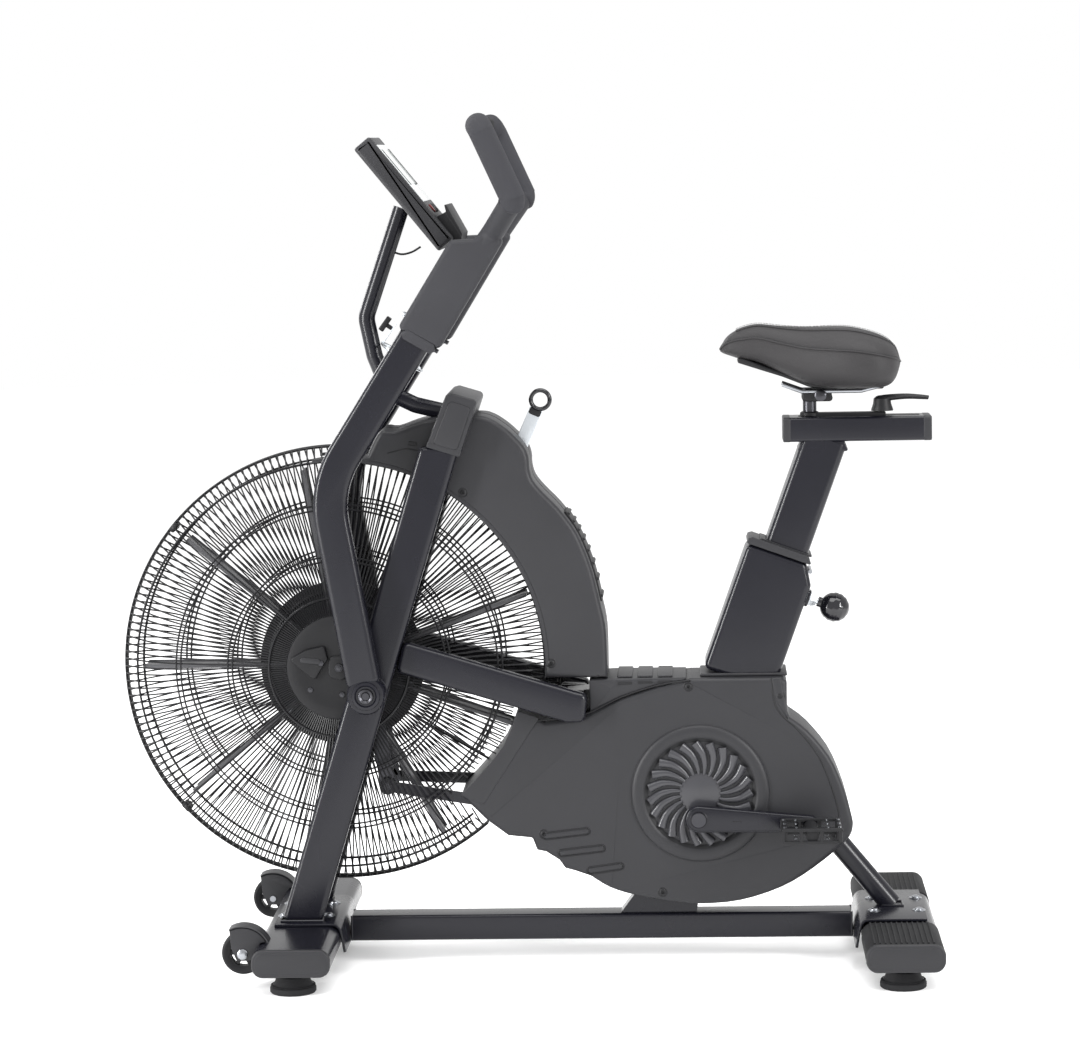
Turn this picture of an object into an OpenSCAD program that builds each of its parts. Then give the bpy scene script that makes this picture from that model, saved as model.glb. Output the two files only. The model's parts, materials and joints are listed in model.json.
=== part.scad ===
// Air bike: a fan wheel in a wire guard, turned by pedals and by two swinging arms.
// The front is -X and the rider's left is -Y. The origin is on the floor, under the middle of the bike.

/* [Base] */
// Half of the overall length, front of the guard to back of the rear foot bar
half_length = 627; // [600:1:660]
// Length of each foot bar, side to side
foot_bar_l = 540; // [460:10:600]
// Width of a foot bar, front to back
foot_bar_w = 118; // [100:1:130]
// Height of a foot bar
foot_bar_h = 42; // [38:1:44]
// Height of the floor rail's middle
rail_z = 53; // [52:1:56]
// Diameter of a levelling foot
foot_d = 70; // [50:1:80]

/* [Fan] */
// Radius of the wire guard
guard_r = 340; // [330:1:344]
// Radius of the fan at the blade tips
fan_r = 308; // [290:1:312]
// Height of the fan's axis
fan_z = 470; // [465:1:475]
// Number of fan blades
blade_count = 9; // [6:1:12]
// Number of spokes drawn in each half of the guard
spoke_count = 36; // [18:2:48]

/* [Drive] */
// Pedal axis to crank axis
crank_l = 171; // [165:1:175]
// Throw of the drive pins that push the arm rods
drive_throw = 30; // [28:1:31]
// Pitch radius of the crank pulley
crank_pulley_r = 100; // [90:1:104]
// Pitch radius of the fan pulley
fan_pulley_r = 25; // [22:1:28]

/* [Arms] */
// Width of an arm tube, seen from the side
arm_w = 52; // [46:1:56]
// Thickness of an arm tube, side to side
arm_t = 36; // [30:1:36]
// Length of the lever below an arm's pivot
lever_l = 156; // [150:1:160]
// Diameter of the foam grips
grip_d = 38; // [34:1:42]

/* [Seat] */
// Lean of the seat post behind the vertical, in degrees
seat_lean = 20; // [18:0.5:22]
// Width of the seat post
post_w = 68; // [60:1:70]
// Length of the saddle
saddle_l = 272; // [250:1:290]

/* [Console] */
// Width of the console, side to side
console_w = 180; // [160:2:220]
// Thickness of the console case
console_t = 31; // [24:1:34]

/* [Hidden] */
$fn = 48;

eps = 0.01;
gap = 0.3;

// Axes that run side to side, as [x, z]
fan = [-half_length + guard_r, fan_z];
pivot = [-240, 436];
crank = [263, 232];
turbine = [266, 268];
seat_foot = [338, 461];
wheel_axis = [-428, 57];

// Layers on each side of the middle plane
blade_half = 26;
belt_y = 33;
rod_y = 45;
plate_y = 54;
guard_y = 60;
tube_y = 79;
arm_y = 116;
crank_arm_y = 84;
tube_t = 28;
tube_wall = 3;
arm_x = arm_y - arm_t / 2;

charcoal = [0.16, 0.16, 0.17];
black = [0.07, 0.07, 0.08];
steel = [0.62, 0.63, 0.65];

// ---------- helpers ----------

function unit(v) = v / norm(v);
function turn(v) = [-v.y, v.x];
function polar(c, r, a) = c + r * [cos(a), sin(a)];
function arc(c, r, a0, a1, n = 16) = [for (i = [0:n]) polar(c, r, a0 + (a1 - a0) * i / n)];

// The round that joins a-b to b-c
function fillet(a, b, c, r, n = 6) =
    let (u = unit(a - b), v = unit(c - b), half = acos(u * v) / 2, t = r / tan(half),
         m = b + unit(u + v) * r / sin(half), p = b + u * t - m, q = b + v * t - m)
    [for (i = [0:n]) m + r * unit(p * (n - i) + q * i)];

function rounded(path, r) = concat([path[0]],
    [for (i = [1:len(path) - 2]) each fillet(path[i - 1], path[i], path[i + 1], r)],
    [path[len(path) - 1]]);

function rounded_loop(p, r) = let (n = len(p))
    [for (i = [0:n - 1]) each fillet(p[(i + n - 1) % n], p[i], p[(i + 1) % n], r, 4)];

// Outline of a bar of width w along a path
function edge(path, i, side) = let (last = len(path) - 1,
        before = unit(path[max(i, 1)] - path[max(i, 1) - 1]),
        after = unit(path[min(i, last - 1) + 1] - path[min(i, last - 1)]),
        n = turn(unit(before + after)))
    path[i] + n * side / (n * turn(before));

function strip(path, w) = let (last = len(path) - 1) concat(
    [for (i = [0:last]) edge(path, i, w / 2)], [for (i = [last:-1:0]) edge(path, i, -w / 2)]);

// A plate of an XZ outline, from y0 to y1
module slab(outline, y0, y1) {
    translate([0, y1, 0]) rotate([90, 0, 0]) linear_extrude(y1 - y0) polygon(outline);
}

// A round bar or hole side to side
module pin(at, r, y0, y1) {
    translate([at.x, y1, at.y]) rotate([90, 0, 0]) cylinder(r = r, h = y1 - y0);
}

// A ring about a side-to-side axis, from an outline of [radius, y]
module ring(at, outline) {
    translate([at.x, 0, at.y]) rotate([-90, 0, 0]) rotate_extrude($fn = 96) polygon(outline);
}

// A round bar between points
module rod(path, r) {
    for (i = [0:len(path) - 2]) {
        d = path[i + 1] - path[i];
        translate(path[i]) rotate([0, acos(d.z / norm(d)), atan2(d.y, d.x)]) cylinder(r = r, h = norm(d), $fn = 32);
    }
    for (i = [1:1:len(path) - 2]) translate(path[i]) sphere(r = r + 0.3, $fn = 32);
}

module left() { mirror([0, 1, 0]) children(); }
module each_side() { children(); mirror([0, 1, 0]) children(); }

// Local frames: one leans with the seat post, one faces as the console does
module seat_frame() { translate([seat_foot.x, 0, seat_foot.y]) rotate([0, seat_lean, 0]) children(); }
console_tilt = 51.2;
console_mid = [-157, 0, 1204];
module console_frame() { translate(console_mid) rotate([0, console_tilt - 90, 0]) children(); }

// ---------- base ----------

front_bar_x = -350;
rear_bar_x = half_length - foot_bar_w / 2;

module foot_bar(x, y0, y1, grow = 0) {
    w = foot_bar_w / 2 + grow;
    h = foot_bar_h / 2 + grow;
    slab(rounded_loop([[x - w, rail_z - h], [x - w, rail_z + h], [x + w, rail_z + h], [x + w, rail_z - h]],
        16 + grow), y0, y1);
}

module base_rail() { color(black)
    difference() {
        translate([front_bar_x + 70, -26, rail_z - 20]) cube([rear_bar_x - front_bar_x - 140, 52, 40]);
        translate([front_bar_x, -23, rail_z - 17]) cube([rear_bar_x - front_bar_x, 46, 34]);
    }
}

module front_foot_bar() { color(black) difference() {
        foot_bar(front_bar_x, -foot_bar_l / 2 + 5, foot_bar_l / 2 - 5);
        foot_bar(front_bar_x, -foot_bar_l / 2, foot_bar_l / 2, -tube_wall);
        // Recesses for the transport wheels
        each_side() pin(wheel_axis, 35.5, wheel_y - 13, wheel_y + 13);
    }
}
module rear_foot_bar() { color(black) difference() {
        foot_bar(rear_bar_x, -foot_bar_l / 2 + 5, foot_bar_l / 2 - 5, -3);
        foot_bar(rear_bar_x, -foot_bar_l / 2, foot_bar_l / 2, -3 - tube_wall);
    }
}

module foot_bar_caps() { color(charcoal) each_side()
    for (x = [front_bar_x, rear_bar_x]) foot_bar(x, foot_bar_l / 2 - 5, foot_bar_l / 2);
}

module rear_treads() { color(black) each_side() difference() {
        foot_bar(rear_bar_x, 112, foot_bar_l / 2 - 5);
        foot_bar(rear_bar_x, 111, foot_bar_l / 2 - 4, -3);
        translate([rear_bar_x - 45, 111, rail_z - foot_bar_h / 2 - 1]) cube([90, 160, 5]);
    }
}

// Bent plates that clamp the rail and the uprights to the foot bars
module clamp_plate(x, side) {
    top = rail_z + foot_bar_h / 2 + 2.6;
    path = [[-42, top], [44, top], [54.5, top - 2.8], [60.5, top - 9.3], [61.8, top - 18.3], [66, 34]];
    slab([for (p = strip(path, 4)) [x + side * p.x, p.y]], -108, 108);
}
module foot_bar_plates() { color(black) {
        clamp_plate(front_bar_x, 1);
        clamp_plate(rear_bar_x, -1);
    }
}

foot_y = 220;
module levelling_feet() { color(black) each_side()
    for (x = [front_bar_x - 2, rear_bar_x - 2]) translate([x, foot_y, 0]) {
        cylinder(d = foot_d, h = 9);
        translate([0, 0, 9 - eps]) cylinder(d1 = foot_d - 3, d2 = foot_d - 20, h = 17);
        cylinder(d = 12, h = rail_z - foot_bar_h / 2);
    }
}

wheel_y = 200;
module wheel_bracket() {
    cheek = concat(arc(wheel_axis, 43, 14, 118, 8),
        [wheel_axis + [-16, 8], wheel_axis + [-8, -9], wheel_axis + [8, -9], wheel_axis + [40, -9]]);
    difference() {
        union() {
            for (y = [wheel_y - 17, wheel_y + 13.5]) slab(cheek, y, y + 3.5);
            slab(concat(arc(wheel_axis, 43, 14, 118, 8), arc(wheel_axis, 40, 118, 14, 8)),
                wheel_y - 17, wheel_y + 17);
        }
        foot_bar(front_bar_x, 150, 250, 0.1);
    }
    pin(wheel_axis, 5, wheel_y - 17, wheel_y + 17);
    for (y = [wheel_y - 20, wheel_y + 17]) pin(wheel_axis, 8, y, y + 3);
}
module wheel_brackets() { color(charcoal) each_side() wheel_bracket(); }

module transport_wheel() { color(black) difference() {
        pin(wheel_axis, 33, wheel_y - 12, wheel_y + 12);
        pin(wheel_axis, 5.05, wheel_y - 13, wheel_y + 13);
    }
}

// ---------- frame ----------

upright_foot = [-351, rail_z + foot_bar_h / 2 + 4.4];
upright_slope = 0.312;
upright_top = [upright_foot.x + upright_slope * (812 - upright_foot.y), 812];
function upright_outline(grow = 0) = [upright_foot + [-31 - grow, 0.4], upright_foot + [31 + grow, 0.4],
    upright_top + [30 + grow, grow], upright_top + [-30 - grow, grow]];

module upright() { color(black) difference() {
        slab(upright_outline(), tube_y - tube_t / 2, tube_y + tube_t / 2);
        difference() {
            slab(upright_outline(-tube_wall), tube_y - tube_t / 2 + tube_wall, tube_y + tube_t / 2 - tube_wall);
            pin(pivot, 21, 0, 120);
        }
        pin(pivot, 16, 0, 120);
    }
}

rail_start = [-190, 489];
rail_end = [70, 408];
module side_rail() { color(black) {
        n = 24.5 * turn(unit(rail_end - rail_start));
        outer = tube_y + tube_t / 2;
        difference() {
            slab(rounded([rail_start + n, rail_end + n, rail_end + [26, 18], rail_end + [22, -24],
                rail_end - n, rail_start - n], 8), tube_y - tube_t / 2, outer);
            slab(upright_outline(), 50, 120);
            slab(strip([rail_start - [20, -6], rail_end], 49 - 2 * tube_wall),
                tube_y - tube_t / 2 + tube_wall, outer - tube_wall);
        }
        // The end turns in and is welded to the spine, over the belt
        end = rounded_loop([rail_end + [-20, 20], rail_end + [22, 16], rail_end + [18, -23], rail_end + [-20, -14]], 5);
        slab(end, 38.6, tube_y - tube_t / 2);
        slab([[50, 404.5], [50, 426], [90, 426], [90, 404.5]], 26.1, 38.6);
    }
}

// Spine, crank shell and strut, welded together inside the housing
module inner_frame() { color(black) difference() {
        union() {
            difference() {
                slab([[62, 372], [62, 424], [300, 440], [300, 384]], -26, 26);
                slab([[66, 376], [66, 420], [320, 437], [320, 389]], -26 + tube_wall, 26 - tube_wall);
            }
            pin(crank, 28, -28, 28);
            slab([crank + [-20, 0], [crank.x - 20, 390], [crank.x + 20, 390], crank + [20, 0]], -18, 18);
            slab([crank + [-18, -20], [140, rail_z + 20], [258, rail_z + 20], crank + [18, -20]], -18, 18);
        }
        pin(crank, 17, -40, 40);
        sleeve(0.2);
    }
}

module rear_brace() { color(black) difference() {
        rod([[322, 0, 372], [566, 0, 72]], 17);
        rod([[310, 0, 386.8], [578, 0, 57.2]], 17 - tube_wall);
        sleeve(0.2);
        foot_bar(rear_bar_x, -60, 60, 0.1);
        translate([rear_bar_x - 50, -110, 40]) cube([100, 220, rail_z + foot_bar_h / 2 + 4.8 - 40]);
    }
}

// The sleeve holds the seat post and runs down inside the housing; the seat tube is its wide cover above the tray
seat_tube_l = 182;
seat_tube_x = [-60, 54];
sleeve_foot = -105;
pin_z = 127.4;
module sleeve(grow = 0) {
    seat_frame() translate([-post_w / 2 - 4.4 - grow, -36.4 - grow, sleeve_foot - grow])
        cube([post_w + 8.8 + 2 * grow, 72.8 + 2 * grow, 60 - sleeve_foot]);
}
module seat_tube() { color(black) difference() {
        union() {
            difference() {
                seat_frame() translate([seat_tube_x[0], -42, -30])
                    cube([seat_tube_x[1] - seat_tube_x[0], 84, seat_tube_l + 30]);
                translate([200, -100, 380]) cube([300, 200, tray_z - 380]);
                // The back of the top edge is cut off at a slant
                seat_frame() translate([seat_tube_x[1] + 2, 0, seat_tube_l + 2])
                    rotate([0, 30, 0]) cube([24, 100, 60], center = true);
            }
            sleeve();
        }
        seat_frame() translate([-post_w / 2 - 0.4, -32.4, sleeve_foot - 1])
            cube([post_w + 0.8, 64.8, seat_tube_l - sleeve_foot + 2]);
        seat_frame() translate([0, 0, pin_z]) rotate([0, 90, 0]) cylinder(d = 16.1, h = 100);
    }
}

module seat_collar() { color(charcoal) seat_frame() translate([0, 0, seat_tube_l]) difference() {
        translate([seat_tube_x[0] - 2, -44, 0]) cube([seat_tube_x[1] - seat_tube_x[0] - 8, 88, 11]);
        translate([-post_w / 2 - 0.4, -32.4, -1]) cube([post_w + 0.8, 64.8, 20]);
        for (x = [seat_tube_x[0] - 4, seat_tube_x[1] - 6]) translate([x, 0, 12])
            rotate([0, 45, 0]) cube([11, 100, 11], center = true);
    }
}

// ---------- housings ----------

housing_half = 62;
wall = 3;

// The crank housing's outline, clockwise from the top front
housing_front = [[29, 381], [-13, 401], [-23, 372], [-36, 345], [-50, 326], [-66, 308], [-85, 287], [-104, 269]];
housing_foot = [[-63, 228], [-31, 204], [6, 199], [9, 181], [27, 177], [47, 164], [53, 153], [71, 148], [96, 139],
    [125, 121], [166, 108], [223, 97], [265, 93], [326, 98], [389, 119], [438, 148]];
housing_back = [[488, 189], [501, 214], [497, 235], [485, 277], [465, 322], [432, 363], [404, 385], [402, 394],
    [402, 441], [394, 447], [250, 447]];
tray_seam = [[203, 435], [147, 417], [88, 389]];
housing_outline = concat(housing_front, housing_foot, housing_back, tray_seam);
housing_hollow = concat([[-60, 262], [-10, 222]], [for (p = housing_foot) if (p.x > 30) p + [0, 7]],
    [[474, 196], [486, 218], [470, 276], [450, 318], [420, 354], [396, 374], [396, 440], [254, 440]],
    [for (p = tray_seam) p + [0, -6]], [[30, 376], [-20, 376], [-40, 320]]);
rail_notch = [[26, 380.3], [128, 380.3], [128, 470], [26, 470]];

module housing() { color(charcoal) difference() {
        slab(housing_outline, 0, housing_half);
        slab(housing_hollow, -1, housing_half - wall);
        slab(rail_notch, -1, housing_half + 1);
        // Open front: the drive rods and the belt run in from the fan
        slab([[-130, 214], [-130, 420], [30, 420], [30, 214]], -1, housing_half - wall);
        // Room for the spine, the feet of the frame, and the seat tube
        slab([[60, 370], [60, 424.5], [262, 438.5], [262, 382]], -1, 26.3);
        slab([[130, 60], [140, 120], [236, 140], [270, 140], [268, 60]], -1, 19);
        slab([[400, 90], [400, 280], [540, 280], [540, 90]], -1, 18);
        slab([[262, 430], [262, 460], [396, 460], [396, 430]], -1, 42.4);
        pin(crank, 24, 0, 80);
        pin(turbine, 84, housing_half - 2, 80);
    }
}

// A ribbed foot rest between the shroud and the seat tube
tray_z = 447;
module foot_tray() { color(charcoal) difference() {
        union() {
            slab([[130.5, 412], [130.5, tray_z + 0.5], [250, tray_z + 0.5], [250, tray_z + 0.1],
                [203, 435.4], [147, 417.4]], -housing_half + 2, housing_half - 2);
            for (i = [0:2]) translate([140 + i * 31, 8 - housing_half, tray_z]) cube([25, 2 * housing_half - 16, 4]);
        }
        slab([[130, 400], [130, 441], [240, 441], [203, 431]], -30, 30);
    }
}

module turbine_cover() {
    ring(turbine, [[84, 62], [106, 62], [105, 65], [98, 68], [90, 68], [85, 64]]);
    difference() {
        pin(turbine, 83.7, housing_half - 2 + gap, housing_half + 1);
        pin(crank, 14, 50, 80);
    }
    difference() {
        for (i = [0:21]) {
            a = i * 360 / 22;
            slab(strip([polar(turbine, 34, a), polar(turbine, 56, a + 9), polar(turbine, 80, a + 26)], 4),
                 housing_half + 1, housing_half + 3);
        }
        pin(crank, 24, 50, 80);
    }
}
module turbine_covers() { color(charcoal) each_side() turbine_cover(); }

// The shroud over the top and back of the fan
shroud_in = 316;
shroud_outline = concat([[-236, 797], [-215, 836], [-194, 834], [-165, 844], [-139, 850], [-65, 855], [-50, 852],
    [-35, 844], [-16, 829], [4, 807], [11, 789], [12, 772], [17, 755], [31, 737], [55, 712], [78, 681], [92, 652],
    [106, 612], [117, 564], [124, 530], [126, 496], [126, 449]],
    [[fan.x + shroud_in, 449]], arc(fan, shroud_in, 0, 97, 16));
shroud_hollow = concat([[-208, 800], [-200, 822], [-135, 840], [-60, 844], [-20, 820], [0, 792], [4, 756], [24, 728],
    [66, 680], [100, 590], [114, 520], [115, 440]], arc(fan, 330, -6, 84, 12));

module shroud() { color(charcoal) {
        difference() {
            slab(shroud_outline, 0, housing_half);
            slab(shroud_hollow, -1, housing_half - wall);
            // Room for the guard and the fan
            ring(fan, [[0, -1], [guard_r + 4, -1], [guard_r + 4, 24], [fan_r + 10, 48], [0, 48]]);
            // Slot for the resistance lever
            slab([[-42, 770], [-42, 880], [30, 880], [30, 770]], -1, 5);
            // The stalk runs in under the crossbar
            rod([[-60, 0, 843], [-165, 0, 869]], stalk_r + 0.3);
        }
        // Half of the resistance lever's pivot
        pin(lever_foot, 4, 0, housing_half - wall + eps);
    }
}

module vent_fins() { color(black) difference() {
        for (i = [0:6]) {
            p = [72, 694] + i / 6 * [45, -118];
            a = 55 - i * 6.5;
            slab([for (q = [[-12, -5], [-12, 4], [5, 5], [9, -4]]) p + [q.x * cos(a) - q.y * sin(a),
                q.x * sin(a) + q.y * cos(a)]], -34, 34);
        }
        slab(shroud_outline, -70, 70);
    }
}

// The cover where the uprights meet the crossbar over the shroud
cover_outline = rounded_loop([[-144, 813], [-111, 893], [-101, 893], [-62, 880], [-91, 796]], 6);
module crossbar_cover() { color(charcoal) difference() {
        slab(cover_outline, -95, 95);
        slab([[-170, 780], [-170, 860], [-20, 860], [-20, 780]], -housing_half - gap, housing_half + gap);
        each_side() slab(upright_outline(gap), tube_y - tube_t / 2 - gap, tube_y + tube_t / 2 + gap);
        rod([[-60, 0, 843], [-165, 0, 869]], stalk_r + 0.1);
    }
}

// ---------- fan and guard ----------

// How far the guard's wires stand from the middle plane, at each radius
guard_profile = [[106, 60], [165, 60], [248, 58], [276, 53.5], [300, 43], [322, 26], [334, 14], [guard_r - 1, 7]];
ring_radii = [[108, 60], [165, 60], [172, 60], [245, 58], [252, 57.4], [316, 31], [guard_r - 2, 7]];
// The guard stops short of the housing and of the drive rods that run into it
guard_cut = concat([for (i = [1:len(housing_front) - 2]) housing_front[i] + [-1, 0]],
    [[-104, 292], [-116, 288], [-116, 240], [-72, 224], [-31, 190], [70, 190], [70, 414], [-14, 414]]);

module guard_half() { color(black) difference() {
        union() {
            wire = 3;
            intersection() {
                ring(fan, concat([for (p = guard_profile) [p.x, p.y - wire / 2]],
                                 [for (i = [len(guard_profile) - 1:-1:0]) guard_profile[i] + [0, wire / 2]]));
                for (i = [0:spoke_count / 2 - 1])
                    translate([fan.x, 40, fan.y]) rotate([0, i * 360 / spoke_count, 0])
                        cube([2 * guard_r + 20, 100, wire], center = true);
            }
            for (p = ring_radii)
                ring(fan, [[p.x - 2, p.y - 2], [p.x + 2, p.y - 2], [p.x + 2, p.y + 2], [p.x - 2, p.y + 2]]);
        }
        slab(guard_cut, 0, 80);
    }
}

module hub_cover() {
    difference() {
        ring(fan, [[14, 58], [104, 58], [104, 61], [96, 63.5], [30, 63.5], [24, 60.5], [14, 60.5]]);
        pin(pivot, 20.3, 50, 70);
    }
}
module hub_covers() { color(charcoal) each_side() hub_cover(); }

// Plates that carry the fan's axle and the arms' pivots
module axle_plates() { color(steel) each_side() difference() {
        union() {
            slab(strip([fan, pivot], 44), plate_y - 2.5, plate_y + 2.5);
            pin(fan, 22, plate_y - 2.5, plate_y + 2.5);
            pin(pivot, 22, plate_y - 2.5, plate_y + 2.5);
            pin(pivot, 20, plate_y, tube_y - tube_t / 2 - 0.1);
        }
        pin(fan, 6, 40, 70);
        pin(pivot, 15, 40, 70);
    }
}

module fan_axle() { color(steel) {
        pin(fan, 5.95, -plate_y - 14, plate_y + 14);
        each_side() pin(fan, 10, plate_y + 3, plate_y + 9);
        each_side() pin(fan, 9, 42, plate_y - 3);
    }
}

module bearing(at, r_in, r_out, y0, y1) {
    difference() { pin(at, r_out, y0, y1); pin(at, r_in, y0 - 1, y1 + 1); }
}
module bearings() { color(steel) each_side() {
        bearing(crank, 10.05, 16.95, 18, 28);
        bearing(pivot, 10.05, 15.95, 66, 92);
        bearing(pivot, 10.05, 14.95, plate_y - 2.5, plate_y + 2.5);
    }
}

module fan_rotor() { color(black) difference() {
        union() {
            pin(fan, 32, -14, 14);
            ring(fan, [[30, -2], [128, -2], [128, 2], [30, 2]]);
            for (i = [0:blade_count - 1]) translate([fan.x, 0, fan.y]) rotate([0, -i * 360 / blade_count, 0])
                translate([60, -blade_half, -1.5]) cube([fan_r - 60, 2 * blade_half, 3]);
        }
        pin(fan, 6.05, -60, 60);
    }
}

module fan_pulley() { color(steel) difference() {
        union() {
            pin(fan, 16, 14, 28);
            pin(fan, fan_pulley_r - 2, 28, 38);
        }
        pin(fan, 6.05, 10, 60);
    }
}

module drive_belt() { color(black) difference() {
        hull() { pin(fan, fan_pulley_r + 1, 29, 37); pin(crank, crank_pulley_r + 1, 29, 37); }
        hull() { pin(fan, fan_pulley_r - 2 + gap, 20, 50); pin(crank, crank_pulley_r - 2 + gap, 20, 50); }
    }
}

// ---------- crank ----------

module crank_axle() { color(steel) {
        pin(crank, 9.95, -92, 92);
        each_side() pin(crank, 11, 92.1, 96);
        // Discs whose pins drive the rods, half a turn apart
        for (s = [-1, 1]) mirror([0, s < 0 ? 1 : 0, 0]) {
            at = crank + [0, s * drive_throw];
            pin(crank, 42, 52.5, 56.5);
            pin(at, 7, 50.6, 53);
        }
    }
}

module crank_pulley() { color(black) difference() {
        union() {
            ring(crank, [[crank_pulley_r - 12, 28.3], [crank_pulley_r - 2, 28.3], [crank_pulley_r - 2, 38], [crank_pulley_r - 12, 38]]);
            ring(crank, [[10, 30], [crank_pulley_r - 11, 30], [crank_pulley_r - 11, 36], [10, 36]]);
            pin(crank, 24, 28.5, 38);
        }
        pin(crank, 9.96, 20, 50);
        for (i = [0:5]) pin(polar(crank, 56, i * 60), 20, 20, 50);
    }
}

crank_drop = -3;
function pedal_at(s) = crank + crank_l * [cos(crank_drop), sin(crank_drop)] * s;
module crank_arm(s) { color(black) difference() {
        union() {
            along = unit(pedal_at(s) - crank);
            across = turn(along);
            slab([crank - 21 * across, crank + 21 * across, pedal_at(s) + 13 * across, pedal_at(s) - 13 * across],
                 crank_arm_y - 7, crank_arm_y + 7);
            pin(crank, 21, crank_arm_y - 8, crank_arm_y + 8);
            pin(pedal_at(s), 13, crank_arm_y - 7, crank_arm_y + 7);
        }
        pin(crank, 9.96, 60, 100);
        pin(pedal_at(s), 6, 60, 100);
    }
}

module pedal(s) { color(charcoal) {
        at = pedal_at(s);
        pin(at, 5.95, crank_arm_y - 6, 184);
        pin(at, 10, crank_arm_y + 7.3, 182);
        difference() {
            slab(rounded_loop([at + [-46, -12], at + [-46, 12], at + [46, 12], at + [46, -12]], 5), 98, 188);
            for (x = [-28, 28]) slab(rounded_loop([at + [x - 11, -20], at + [x - 11, 20], at + [x + 11, 20], at + [x + 11, -20]], 2), 106, 180);
        }
    }
}

// ---------- arms ----------

arm_bend = [-296, 754];
arm_top = [-58, 1128];
sleeve_start = [-158, 978];
sleeve_outline = rounded_loop([[-179, 996], [-98, 1124], [-61, 1125], [-50, 1139], [-14, 1128], [-120, 960]], 5);
lever_pin = polar(pivot, lever_l, -81.5);
grip_foot = [0, 179, 1182];
grip_head = [-46, 179, 1288];

module arm() { color(black) {
        path = rounded([pivot + [-3, 14], arm_bend, sleeve_start + unit(arm_top - sleeve_start) * 4], 140);
        difference() {
            union() {
                difference() {
                    slab(strip(path, arm_w), arm_x, arm_x + arm_t);
                    slab(strip(path, arm_w - 2 * tube_wall), arm_x + tube_wall, arm_x + arm_t - tube_wall);
                }
                pin(pivot, 29, arm_x, arm_x + arm_t);
            }
            pin(pivot, 9.96, arm_x - 1, arm_x + arm_t - 6);
            slab(sleeve_outline, 90, 140);
        }
        pin(pivot, 20, arm_x + arm_t - 0.1, arm_x + arm_t + 3);
        pin(pivot, 11, arm_x + arm_t, arm_x + arm_t + 6);
        // Pivot shaft, and the lever at its inner end
        lever = [rod_y - 4.7, rod_y - 0.5];
        pin(pivot, 9.95, lever[0], arm_x + 4);
        slab(strip([pivot, lever_pin], 24), lever[0], lever[1]);
        pin(pivot, 20, lever[0], lever[1]);
        pin(lever_pin, 14, lever[0], lever[1]);
        pin(lever_pin, 5.95, lever[0], rod_y + 4.8);
    }
    color(charcoal) {
        slab(sleeve_outline, arm_x - 2, arm_x + arm_t + 2);
        difference() {
            rod([[-34, arm_y + 4, 1132], grip_foot], 17);
            slab(sleeve_outline, arm_x - 2, arm_x + arm_t + 2);
        }
    }
}

module grip() { color(charcoal) difference() {
        union() {
            rod([grip_foot, grip_head], grip_d / 2);
            translate(grip_foot) sphere(d = grip_d + 0.6, $fn = 32);
            translate(grip_head) sphere(d = grip_d + 0.6, $fn = 32);
            rod([grip_head, [-52, 148, 1297]], grip_d / 2 - 1.5);
        }
        rod([[-34, arm_y + 4, 1132], grip_foot], 17.05);
    }
}

module drive_rod(s) { color(black) difference() {
        end = crank + [0, s * drive_throw];
        union() {
            slab(strip([lever_pin, end], 17), rod_y, rod_y + 5);
            pin(lever_pin, 13, rod_y, rod_y + 5);
            pin(end, 12, rod_y, rod_y + 5);
        }
        pin(lever_pin, 6, rod_y - 1, rod_y + 6);
        pin(end, 7.2, rod_y - 1, rod_y + 6);
    }
}

// ---------- seat ----------

post_top = 372;
slider_z = [805, 843];
module seat_post() { color(black) difference() {
        union() {
            seat_frame() difference() {
                translate([-post_w / 2, -32, 46]) cube([post_w, 64, post_top - 46]);
                translate([-post_w / 2 + 3, -29, 40]) cube([post_w - 6, 58, post_top - 60]);
                // Holes for the pull pin, one every 25 mm
                for (i = [-3:5]) translate([0, 0, pin_z + 25 * i]) rotate([0, 90, 0]) cylinder(d = 10.4, h = 60);
            }
            translate([400, -34, slider_z[0]]) cube([half_length - 400, 68, slider_z[1] - slider_z[0]]);
        }
        translate([404, -26, slider_z[0] + 6]) cube([300, 52, slider_z[1] - slider_z[0] - 12]);
        translate([424, -12, slider_z[1] - 12]) cube([186, 24, 40]);
    }
}

saddle_pin_x = 438;
clamp_at = [553, 842];
module seat_carriage() { color(charcoal) {
        bottom = slider_z[0] + 6.3;
        top = slider_z[1];
        translate([440, -25.7, bottom]) cube([130, 51.4, top - 6.3 - bottom]);
        translate([440, -11.7, top - 8]) cube([118, 23.4, 14]);
        translate([saddle_pin_x + 4, 0, top + 1]) cylinder(d = 21, h = 40);
        translate([saddle_pin_x - 8, -20, 868]) cube([40, 40, 14]);
        pin([saddle_pin_x + 20, 875], 7, -26, 26);
        translate([clamp_at.x, 0, top + 1]) cylinder(d = 7.9, h = 20);
    }
}

module saddle() { color(charcoal) intersection() {
        slab(rounded_loop([[306, 949], [318, 972], [362, 986], [438, 980], [508, 979], [566, 959], [580, 922],
            [573, 899], [558, 888], [517, 885], [452, 885], [408, 909], [365, 927], [334, 937]], 5), -110, 110);
        translate([0, 0, 860]) linear_extrude(150)
            polygon(rounded_loop([[304, -28], [304, 28], [360, 34], [440, 62], [500, 98], [550, 100], [578, 60],
                [578, -60], [550, -100], [500, -98], [440, -62], [360, -34]], 10));
    }
}

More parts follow.
